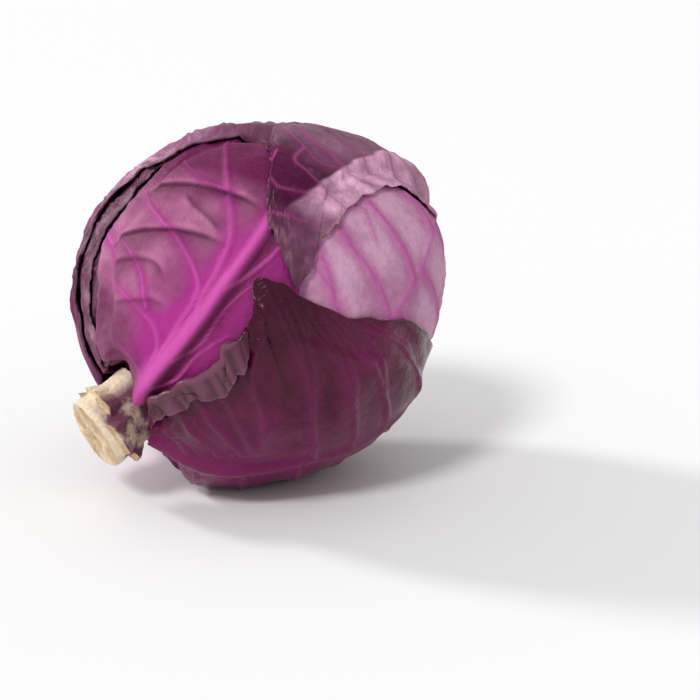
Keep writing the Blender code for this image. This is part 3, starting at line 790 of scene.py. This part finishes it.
# Above the first fold the leaf's bloom and flush fade out over this distance.
FRONT_FADE = 13 * MM
front_spot = front_leaf.grid(columns=150, rows=180)
front_height, front_vein, front_flush = raise_veins(
    front_spot,
    [(smooth_line(places, 130), widths, heights) for places, widths, heights in FRONT_VEINS],
    glow=3.4,
)
stem_distance, stem_place, stem_side = from_line(front_spot, smooth_line(FRONT_MIDRIB, 160))
stem_width = (9.5 - 6.5 * stem_place) * MM
stem_height = (4.6 - 3.4 * stem_place) * MM
stem = ridge(stem_distance, stem_width)
front_height = np.maximum(front_height, stem_height * stem**0.8)
front_crease_shadow = np.zeros(front_spot.reach.shape)
front_step = np.zeros(front_spot.reach.shape)
front_fold_highlight = np.zeros(front_spot.reach.shape)
for places, depth, spread in FRONT_FOLDS:
    distance, place, side = from_line(front_spot, smooth_line(places, 110))
    ends = np.clip(6 * np.minimum(place, 1 - place), 0, 1)
    signed = distance * side
    over = np.clip(0.5 + signed / (1.6 * MM), 0, 1)
    front_step += depth * MM * ends * over * np.exp(-distance / (spread * MM))
    # Painted shadow just below each fold, and a painted highlight along its raised edge above.
    below = (1 - over) * np.exp(-distance / (4.2 * MM)) + 0.5 * ridge(distance, 1.3 * MM)
    front_crease_shadow = np.maximum(front_crease_shadow, depth / 1.5 * ends * below)
    above = ridge(np.abs(signed - 2.2 * MM), 2.2 * MM)
    front_fold_highlight = np.maximum(front_fold_highlight, depth / 1.6 * ends * above)
    if places is FRONT_FOLDS[0][0]:
        front_low = np.clip(1 - signed / FRONT_FADE, 0, 1)
front_relief = front_height + front_step + 1.3 * MM * swell(front_spot, 15 * MM, 7) * (1 - stem)
front_relief += 0.25 * MM * swell(front_spot, 5 * MM, 8) * (1 - stem)
front_radius = leaf_radius(front_spot, level=4.2, relief=front_relief, waves=0.8)
stem_left = stem_distance * stem_side
front_left = np.clip(0.5 + (stem_left + 2.5 * MM) / (3 * MM), 0, 1)
stem_shadow = ridge(np.abs(stem_left + 4.2 * MM), 4 * MM) * np.clip(1.3 - stem_place, 0, 1)
front_panel = np.clip((stem_distance - 6 * MM) / (5 * MM), 0, 1)
front_base = np.clip(1.25 - stem_place * 1.7, 0, 1) * ridge(stem_distance, 40 * MM)
front_flush = np.clip(0.7 * front_flush + 0.8 * ridge(stem_distance, 2.8 * stem_width)
                      + 0.9 * front_base, 0, 1)
front_flush *= (0.1 + 0.9 * front_left) * (0.12 + 0.88 * front_low)
front_flush += 0.5 * (1 - front_left) * front_panel
front_cloud = swell(front_spot, 13 * MM, 44)
front_flush = np.clip(front_flush * (0.65 + 0.6 * front_cloud) + 0.12 * front_left, 0, 1)
front_bloom_and_highlight = (1 - 0.85 * front_flush) * front_left * (0.03 + 0.97 * front_low)
# The fold highlights are painted into the bloom.
front_bloom_and_highlight *= 0.45 + 0.55 * front_cloud + 0.5 * front_fold_highlight
front_dusk = np.clip((front_spot.directions @ direction(22, 4) - 0.93) / 0.05, 0, 1)
front_flush *= 1 - 0.75 * front_dusk
front_bloom_and_highlight = np.maximum(front_bloom_and_highlight, 0.35 * front_dusk)
front_shade = np.maximum(0.9 * front_crease_shadow, 0.95 * stem_shadow)
front_shade = np.maximum(front_shade, 0.4 * front_dusk * (1 - 0.8 * front_vein))
front_shade = np.maximum(front_shade, 0.45 * (1 - front_low) * (1 - 0.9 * front_vein))
# Painted light and shade on the stem: its bright colour sits to its left and dims to a quarter on
# its right.
stem_painted_light = ridge(np.abs(stem_left - 0.6 * MM), 0.8 * stem_width)
stem_painted_light *= np.clip(1 + (stem_left + 1.5 * MM) / (2 * MM), 0.25, 1)
lay_leaf(
    "front_leaf", front_spot, front_radius,
    masks=leaf_masks(
        front_spot, np.maximum(0.8 * front_vein, stem_painted_light),
        front_flush, front_bloom_and_highlight, front_shade,
    ),
    skin=leaf_skin(
        "front_leaf_skin", deep=(0.10, 0.005, 0.042, 1), mid=(0.18, 0.018, 0.085, 1),
        dusty_and_highlight=(0.44, 0.175, 0.29, 1), glow=(0.42, 0.028, 0.265, 1), ribs=(0.60, 0.090, 0.39, 1),
        gloss=0.40,
    ),
)

# Lower leaf: the dark glossy leaf that the head rests on. Its upper margin is torn
# and rolled outwards in a dry greyish band, below which soft ribs run to the crown.

lower_leaf = Leaf(
    centre=(64, 128), base=(13.8, 128), tip=(124, 150),
    near=((14.6, 98), (17, 80), (22, 70), (32, 68), (40, 69), (45, 71), (52, 69), (56, 65),
          (61, 66), (66, 63), (70, 60), (72, 56), (77, 56), (82, 69), (91, 82), (106, 96),
          (118, 118)),
    far=((15, 165), (24, 188), (42, 198), (64, 202), (88, 198), (110, 182)), waves=8,
)
# The rolled margin: where it starts and ends along the near margin, its width there,
# the radius of its fold, and the steps that it is made in.
ROLL_FIRST, ROLL_LAST = 0.04, 0.43
ROLL_WIDTH = (6.5 * MM, 13 * MM)
ROLL_FOLD = 1.4 * MM
PLAIN_EDGE = 0.5 * MM
FOLD_STEPS, ROLL_STEPS = 6, 17
lower_spot = lower_leaf.grid(columns=150, rows=180)
LOWER_RIBS = (
    ((70, 64), (65.4, 70.9), (60.2, 74.8), (56.4, 80.3), (54.7, 87), (53, 100), (48, 116)),
    ((36, 74), (38, 78.4), (39.1, 89.2), (41.2, 100.8), (43, 115)),
    ((29, 76), (30.2, 82), (31.4, 92.9), (34, 104), (36, 116)),
    ((21, 80), (22, 92), (24, 106), (26, 118)),
    ((46, 82), (46, 92), (46.5, 103), (47, 114)),
)
lower_height, lower_vein, lower_flush = raise_veins(
    lower_spot,
    [midrib(lower_leaf, width=(9, 2.6), height=(3.4, 0.8)),
     *side_veins(lower_leaf, 6, width=(2.8, 1.2), height=(1.4, 0.4), seed=43, sides=(1,)),
     *side_veins(lower_leaf, 4, width=(3.0, 1.2), height=(1.4, 0.4), seed=44, first=-0.05,
                 sides=(-1,)),
     *((smooth_line(places[::-1], 110), (4.5, 2.6), (1.5, 0.9)) for places in LOWER_RIBS)],
)
lower_crest = np.zeros(lower_spot.reach.shape)
for places in LOWER_RIBS:
    distance, place, _ = from_line(lower_spot, smooth_line(places, 110))
    lower_crest = np.maximum(lower_crest, np.sin(math.pi * place) * ridge(distance, 1.0 * MM))
lower_height = lower_height + 0.4 * MM * lower_crest
lower_relief = lower_height + 1.6 * MM * swell(lower_spot, 18 * MM, 9)
lower_relief += 0.35 * MM * swell(lower_spot, 5 * MM, 10)
lower_radius = leaf_radius(lower_spot, level=1.6, relief=lower_relief, waves=0.8)
lower_points = leaf_points(lower_spot, lower_radius, 0)
lower_points[:, 2] = np.where(lower_points[:, 2] < 1e-6, 0.0, lower_points[:, 2])
lower_mesh = leaf_mesh(lower_spot, lower_points)
lower_face = BVHTree.FromBMesh(lower_mesh)
lower_source = {vert: vert.index for vert in lower_mesh.verts}
lower_turned, lower_crack_shade = {}, {}
strip = [edge for edge in lower_mesh.edges if edge.is_boundary]
for step in range(1, ROLL_STEPS + 1):
    made = bmesh.ops.extrude_edge_only(lower_mesh, edges=strip)["geom"]
    fresh = {part for part in made if isinstance(part, bmesh.types.BMVert)}
    strip = [
        part for part in made
        if isinstance(part, bmesh.types.BMEdge) and fresh.issuperset(part.verts)
    ]
    for vert in fresh:
        others = [edge.other_vert(vert) for edge in vert.link_edges]
        root = next(lower_source[other] for other in others if other not in fresh)
        lower_source[vert] = root
        row, column = divmod(root, lower_spot.reach.shape[1])
        share, phase = lower_spot.share[row, column], lower_spot.phase[row, column]
        amount = min(max((share - ROLL_FIRST) / 0.08, 0), 1)
        amount *= min(max((ROLL_LAST - share) / 0.05, 0), 1)
        wide = min(max((share - ROLL_FIRST) / (ROLL_LAST - ROLL_FIRST), 0), 1) ** 2
        width = ROLL_WIDTH[0] + (ROLL_WIDTH[1] - ROLL_WIDTH[0]) * wide
        amount *= lower_spot.side[row, column] < 0
        outward = Vector(lower_spot.directions[row, column])
        away = Vector(lower_spot.margin[row, column] - lower_leaf.centre)
        away = (away - outward * away.dot(outward)).normalized()
        start = Vector(lower_points[root])
        plain = start + away * (PLAIN_EDGE * step / ROLL_STEPS)
        angle = math.pi * min(step / FOLD_STEPS, 1)
        rolled = start + (away * math.sin(angle) + outward * (1 - math.cos(angle))) * ROLL_FOLD
        if step > FOLD_STEPS:
            part = (step - FOLD_STEPS) / (ROLL_STEPS - FOLD_STEPS)
            ragged = 1 + 0.10 * math.sin(1.1 * phase) + 0.05 * math.sin(2.3 * phase + 1)
            ray = (start - CENTRE - away * (width * ragged * part)).normalized()
            under = lower_face.ray_cast(CENTRE + ray * HEAD_LENGTH, -ray, HEAD_LENGTH)[0]
            crumple = 0.5 + 0.5 * math.sin(4.3 * phase + 2.2 * math.sin(1.3 * phase) + 2 * part)
            crack = max(0, 1 - abs(part - 0.45 - 0.25 * math.sin(1.9 * phase)) / 0.14)
            crack *= max(0, math.sin(1.3 * phase + 1))
            lift = 2 * ROLL_FOLD + (1.4 * crumple * part - 0.7 * part - crack) * MM
            rolled = (under or start) + ray * lift
            # Painted shade in the cracks and in the troughs of the crumples.
            lower_crack_shade[vert] = max(crack, 0.6 * (1 - crumple)) * amount
        vert.co = plain.lerp(rolled, amount)
        lower_turned[vert] = amount * min(step / 3, 1)
lower_mesh.verts.index_update()
lower_mesh.verts.ensure_lookup_table()
lower_sources = np.array([lower_source[vert] for vert in lower_mesh.verts])
lower_rolled = np.array([lower_turned.get(vert, 0.0) for vert in lower_mesh.verts])
lower_near_floor = np.clip((44 * MM - lower_points[:, 2]) / (34 * MM), 0, 1)
lower_flap = np.clip(lower_spot.directions @ direction(72, 66) * 6 - 5.1, 0, 1)
lower_masks = leaf_masks(
    lower_spot, 0.4 * lower_vein,
    0.5 * lower_flush + 0.7 * lower_near_floor.reshape(lower_spot.reach.shape),
    0.10 * swell(lower_spot, 12 * MM, 33), 0.75 * lower_flap,
)
lower_masks["edge"] = np.zeros(len(lower_sources))
for mask in ("vein", "flush", "bloom_and_highlight", "shade"):
    values = lower_masks[mask].reshape(-1)[lower_sources]
    lower_masks[mask] = values * (1 - lower_rolled) + (mask == "bloom_and_highlight") * 0.9 * lower_rolled
for vert, crack in lower_crack_shade.items():
    lower_masks["shade"][vert.index] = crack
for vert in lower_mesh.verts:
    if vert.is_boundary:
        lower_masks["edge"][vert.index] = 0.8
leaf_piece(
    "lower_leaf", lower_mesh, lower_masks,
    skin=leaf_skin(
        "lower_leaf_skin", deep=(0.030, 0.001, 0.007, 1), mid=(0.11, 0.004, 0.032, 1),
        dusty_and_highlight=(0.15, 0.055, 0.085, 1), glow=(0.18, 0.006, 0.09, 1), ribs=(0.18, 0.014, 0.085, 1),
        gloss=0.16, shine=0.22,
    ),
)

# Crown leaf: the dark leaf folded over the crown, which ends at the front in a pale
# blistered lobe with a waved margin and a grey tongue. A fresh waxy blade.

crown_leaf = Leaf(
    centre=(142, -34), base=(13.8, -80), tip=(81, 66),
    near=((15, -62), (26, -48), (44, -36), (62, -30), (76, -22), (86, -12), (93, -7),
          (101, -5), (108, -1), (114, 3.5), (117, 8.5), (112, 14.5), (107, 22.5), (103.6, 28),
          (98, 34), (92, 40), (87, 45), (84.5, 51), (83, 56)),
    far=((15, -105), (28, -118), (50, -124), (76, -124), (102, -126), (126, -136),
         (148, -160), (162, 150), (152, 104), (143, 80), (136, 62), (125, 57), (110, 57),
         (102, 59), (95, 60), (88, 64)),
    waves=14,
)
CROWN_VEINS = (
    ((128, -12), (125, 3.9), (119.3, 20), (117.2, 29), (115.8, 36), (118.2, 40.6), (124, 46)),
    ((128, 8), (123, 26.4), (122.7, 34.5), (121.8, 43), (123.3, 49.8), (128.3, 57)),
    ((117.2, 29), (109.4, 32.6), (109.2, 38.6), (109.3, 44.6), (109.7, 51.1), (111, 56)),
    ((108, 26), (100.4, 30.5), (98.2, 35.2), (98.3, 38.8), (102.2, 43.8), (106.8, 48)),
    ((90, 43), (92.8, 47.5), (96.3, 51.2), (99.5, 54.4), (104.2, 56)),
    ((140, -8), (138, 14), (134, 30), (132, 44), (134, 57)),
    ((150, -4), (150, 24), (145, 44), (143, 62), (144, 76)),
    ((158, -20), (163, 30), (155, 66), (150, 90)),
)
crown_spot = crown_leaf.grid(columns=190, rows=250)
crown_seen = np.clip((crown_spot.directions @ direction(116, 34) - 0.70) / 0.15, 0, 1)
crown_front_veins = [
    (smooth_line(places, 120), (2.1, 1.7), (0.8, 0.4)) for places in CROWN_VEINS
]
crown_back_veins = [
    midrib(crown_leaf, width=(8, 2.0), height=(2.2, 0.5), end=0.8),
    *side_veins(crown_leaf, 8, width=(2.8, 1.1), height=(2.0, 0.4), seed=51, last=0.35),
]
crown_height, crown_vein, crown_flush = (
    np.maximum(ahead, behind * (1 - crown_seen)) for ahead, behind in zip(
        raise_veins(crown_spot, crown_front_veins, glow=3.0),
        raise_veins(crown_spot, crown_back_veins, glow=3.0),
    )
)
crown_far = np.clip((crown_spot.directions @ direction(150, 20) - 0.75) / 0.15, 0, 1)
lobe_edge = unit(np.cross(direction(90, 44), direction(134.9, 39.1)))
lobe_below = crown_spot.directions @ lobe_edge * np.sign(direction(110, 56) @ lobe_edge)
lobe_below = lobe_below * MEAN_RADIUS + (swell(crown_spot, 9 * MM, 35) - 0.5) * 2.5 * MM
lobe = np.clip((lobe_below - 1.4 * MM) / (1.6 * MM), 0, 1)
crown_polar = degrees_from_stalk(crown_spot)
crown_pale = np.clip((crown_polar - 93) / 14, 0.15, 1)
# Painted highlight: a pale patch in the bloom colour at the top left of the crown leaf, where
# light catches it.
crown_rim_highlight = np.clip(crown_spot.directions @ direction(96, -45) * 3.4 - 2.2, 0, 1)
lobe *= np.clip((crown_spot.directions @ direction(118, 62) - 0.5) / 0.15, 0, 1)
crown_pillows = 0.5 * blisters(crown_spot, 11 * MM, 61) + 0.5 * swell(crown_spot, 7 * MM, 62)
crown_relief = crown_height + 0.9 * MM * swell(crown_spot, 16 * MM, 11)
crown_relief += (0.2 + 1.6 * lobe) * MM * crown_pillows * (1 - 0.7 * crown_vein)
crown_left = np.clip((100 - crown_polar) / 12, 0, 1) * (crown_spot.side == -1)
crown_dry = crown_left * ridge((1 - crown_spot.reach) * 58 * MM, 11 * MM)
crown_folds = pleats(crown_spot, 4.2 * MM, height=1.3, side=-1) * crown_left
crown_radius = leaf_radius(crown_spot, level=3.2, relief=crown_relief, waves=1.1)
crown_radius += crown_folds
crown_cloud = 0.35 + 0.4 * swell(crown_spot, 17 * MM, 34) + 0.25 * swell(crown_spot, 6 * MM, 37)
# Painted shade in the troughs of the pleats along the near margin.
crown_trough_shade = crown_dry * np.clip(1 - crown_folds / (0.5 * MM), 0, 1)
crown_paint = leaf_masks(
    crown_spot, 0.85 * crown_vein, 0.5 * crown_flush,
    np.maximum(
        lobe * crown_pale * (0.7 + 0.3 * crown_pillows),
        crown_cloud * np.maximum(0.24 * crown_far, 0.6 * crown_rim_highlight) + 0.22 * crown_dry,
    ),
    # Painted shade in the valleys between the lobe's pillows and in the pleat troughs.
    np.maximum(0.35 * lobe * (1 - crown_pillows) ** 2, 0.7 * crown_trough_shade),
)
crown_paint["edge"] = 0.25 * crown_paint["edge"]
lay_leaf(
    "crown_leaf", crown_spot, crown_radius,
    masks=crown_paint,
    skin=leaf_skin(
        "crown_leaf_skin", deep=(0.045, 0.001, 0.019, 1), mid=(0.11, 0.006, 0.056, 1),
        dusty_and_highlight=(0.90, 0.49, 0.69, 1), glow=(0.15, 0.010, 0.085, 1), ribs=(0.34, 0.06, 0.21, 1),
        gloss=0.28, glint_flecks=0.15,
    ),
)

# Stalk: the stump left where the head was cut from its plant, with the stubs of
# trimmed leaves round it. Woody, dry and tan on the cut, purple-skinned at the sides.

# Where the stump stands, along its own axes, and its heights and radii in mm. Each
# stub: degrees round from the top, width, reach, foot and top in mm.
STALK_SEAT = Vector((-2 * MM, 0, 68.4 * MM))
STUMP_GRAIN = 0.55 * MM
STALK_PROFILE = ((0, 15.4), (7, 15.2), (13, 15.2), (19, 15.4), (25, 16.2), (28, 15.6))
STUBS = ((-6, 17, 18.5, 12, 20.5), (34, 13, 20, 13, 21.5), (88, 20, 20.5, 13.5, 26),
         (150, 17, 20, 13.5, 22), (222, 16, 20.5, 13, 24), (296, 15, 20, 13, 22.5))
stalk_turn = Matrix((TOP_AXIS, STALK_AXIS.cross(TOP_AXIS), STALK_AXIS)).transposed().to_4x4()
stalk_frame = Matrix.Translation(CENTRE) @ stalk_turn @ Matrix.Translation(STALK_SEAT)
stump = bmesh.new()
bmesh.ops.create_cone(stump, segments=96, radius1=1, radius2=1, depth=1, cap_ends=True)
stump_ends = [face for face in stump.faces if abs(face.normal.z) > 0.9]
stump_ends.sort(key=lambda face: face.calc_center_median().z)
for number, (height, reach) in enumerate(STALK_PROFILE):
    end = stump_ends[min(number, 1)]
    if number > 1:
        made = bmesh.ops.extrude_face_region(stump, geom=[end])["geom"]
        bmesh.ops.delete(stump, geom=[end], context="FACES_ONLY")
        end = stump_ends[1] = next(part for part in made if isinstance(part, bmesh.types.BMFace))
    for vert in end.verts:
        turn = math.atan2(vert.co.y, vert.co.x)
        lobes = 1 + 0.035 * (math.sin(3 * turn + 1) + 0.6 * math.sin(5 * turn))
        slant = -math.cos(turn) * math.tan(math.radians(5)) * reach if height > 20 else 0
        vert.co = (reach * lobes * MM * math.cos(turn), reach * lobes * MM * math.sin(turn),
                   (height + slant) * MM)
for around, width, reach, foot, top in STUBS:
    stub = bmesh.ops.create_cube(stump, size=1)["verts"]
    for vert in stub:
        outer, upper = vert.co.x > 0, vert.co.z > 0
        out = (reach if upper else 15.6) if outer else 9
        across = width * (0.5 if upper else 0.36) * (0.72 if outer else 1)
        height = (top - (2.5 if outer else 0)) if upper else foot
        vert.co = (out * MM, across * MM * math.copysign(1, vert.co.y), height * MM)
    bmesh.ops.rotate(
        stump, verts=stub, cent=(0, 0, 0), matrix=Matrix.Rotation(math.radians(-around), 3, "Z")
    )
bmesh.ops.recalc_face_normals(stump, faces=stump.faces[:])
stump_data = bpy.data.meshes.new("stump_solid")
stump.to_mesh(stump_data)
stump.free()
stump_solid = placed("stump_solid", stump_data)
joined = stump_solid.modifiers.new("joined", "REMESH")
joined.mode = "VOXEL"
joined.voxel_size = STUMP_GRAIN
rounded = stump_solid.modifiers.new("rounded", "SMOOTH")
rounded.iterations = 5
stalk_data = bpy.data.meshes.new_from_object(
    stump_solid.evaluated_get(bpy.context.evaluated_depsgraph_get())
)
bpy.data.objects.remove(stump_solid)
stalk_cut, stalk_rind = [], []
for vert in stalk_data.vertices:
    place, normal = vert.co.copy(), vert.normal.copy()
    turn, reach = math.atan2(place.y, place.x), math.hypot(place.x, place.y)
    cut = min(max((normal.z - 0.45) / 0.3, 0), 1)
    grain = noise.noise(Vector((7 * math.cos(turn), 7 * math.sin(turn), place.z / (9 * MM))))
    pits = noise.fractal(place / (1.7 * MM), 0.7, 2.0, 4)
    crumbs = noise.noise(place / (3.4 * MM) + Vector((5, 2, 8)))
    bark = (1 - cut) * (0.5 * grain + 0.22 * pits)
    face = cut * (0.38 * pits + 0.45 * crumbs)
    vert.co = place + normal * (bark + face - 0.35) * MM
    stalk_cut.append(cut)
    cream = min(max(1.5 - abs(math.degrees(turn)) / 24, 0), 1)
    band = min(max((25 - place.z / MM) / 2.5, 0), 1) * min(max((reach / MM - 11) / 3, 0), 1)
    stalk_rind.append((1 - cream) * band)
stalk_data.transform(stalk_frame)
for mask, values in (("cut", stalk_cut), ("rind", stalk_rind)):
    stalk_data.attributes.new(mask, "FLOAT", "POINT").data.foreach_set("value", values)
stalk_data.shade_smooth()
stalk_skin = Skin("stalk_wood", Specular_IOR_Level=0.3)
stalk_place = stalk_skin.place()
stalk_broad = stalk_skin.clouds(stalk_place, 9 * MM, 3.0)
stalk_fine = stalk_skin.clouds(stalk_place, 1.4 * MM, 5.0, 0.7)
cut_mask, rind_mask = stalk_skin.mask("cut"), stalk_skin.mask("rind")
stalk_colour = stalk_skin.mix(
    stalk_skin.ramp(stalk_broad + 0.4 * stalk_fine, 0.5, 0.95),
    (0.50, 0.34, 0.19, 1), (0.88, 0.68, 0.47, 1),
)
stalk_side = stalk_skin.mix(
    rind_mask * (1 - 0.7 * stalk_skin.ramp(stalk_broad + 0.3 * stalk_fine, 0.6, 0.85)),
    (0.84, 0.68, 0.50, 1), (0.17, 0.05, 0.09, 1),
)
stalk_colour = stalk_skin.mix(1 - cut_mask, stalk_colour, stalk_side)
stalk_colour = stalk_skin.mix(
    stalk_skin.ramp(stalk_fine, 0.56, 0.72) * 0.4, stalk_colour, (0.20, 0.12, 0.08, 1)
)
stalk = placed("stalk_stump", stalk_data)
stalk_data.materials.clear()
stalk_data.materials.append(stalk_skin.finish(
    stalk_colour, 0.62 + 0.25 * stalk_fine, stalk_fine + 0.4 * stalk_broad, 0.6 * MM
))
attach(stalk, "root")
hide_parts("stalk")

# The plain pale floor, the soft studio light and the camera.

floor_mesh = bmesh.new()
bmesh.ops.create_grid(floor_mesh, x_segments=1, y_segments=1, size=4)
floor_data = bpy.data.meshes.new("floor")
floor_mesh.to_mesh(floor_data)
floor_mesh.free()
floor = placed("floor", floor_data)
floor_paint = Skin("floor_paint", Base_Color=(0.90, 0.90, 0.90, 1), Roughness=0.9)
floor_data.materials.append(floor_paint.material)

world = bpy.data.worlds.new("studio")
world.use_nodes = True
world.node_tree.nodes["Background"].inputs["Color"].default_value = (1, 1, 1, 1)
world.node_tree.nodes["Background"].inputs["Strength"].default_value = 0.55
bpy.context.scene.world = world
bpy.context.scene.view_settings.view_transform = "Standard"


def soft_sun(name, place, angle, strength):
    data = bpy.data.lights.new(name, "SUN")
    data.angle, data.energy = math.radians(angle), strength
    lamp = placed(name, data)
    lamp.location = place
    lamp.rotation_euler = Vector(place).to_track_quat("Z", "Y").to_euler()


soft_sun("key_light", (-0.75, -0.35, 0.85), 14, 1.5)
soft_sun("rim_light", (-0.45, 0.8, 0.5), 10, 1.4)

CAMERA_PLACE = (-0.36458, -0.60582, 0.25707)
turn, lift = math.radians(-34.2), math.radians(16)
back = Vector((math.sin(turn) * math.cos(lift), -math.cos(turn) * math.cos(lift), math.sin(lift)))
right = Vector((math.cos(turn), math.sin(turn), 0))
camera_data = bpy.data.cameras.new("camera")
camera_data.lens = 85
camera_data.sensor_width = 36
camera = placed("camera", camera_data)
camera_turn = Matrix((right, back.cross(right), back)).transposed().to_4x4()
camera.matrix_world = Matrix.Translation(CAMERA_PLACE) @ camera_turn
bpy.context.scene.camera = camera
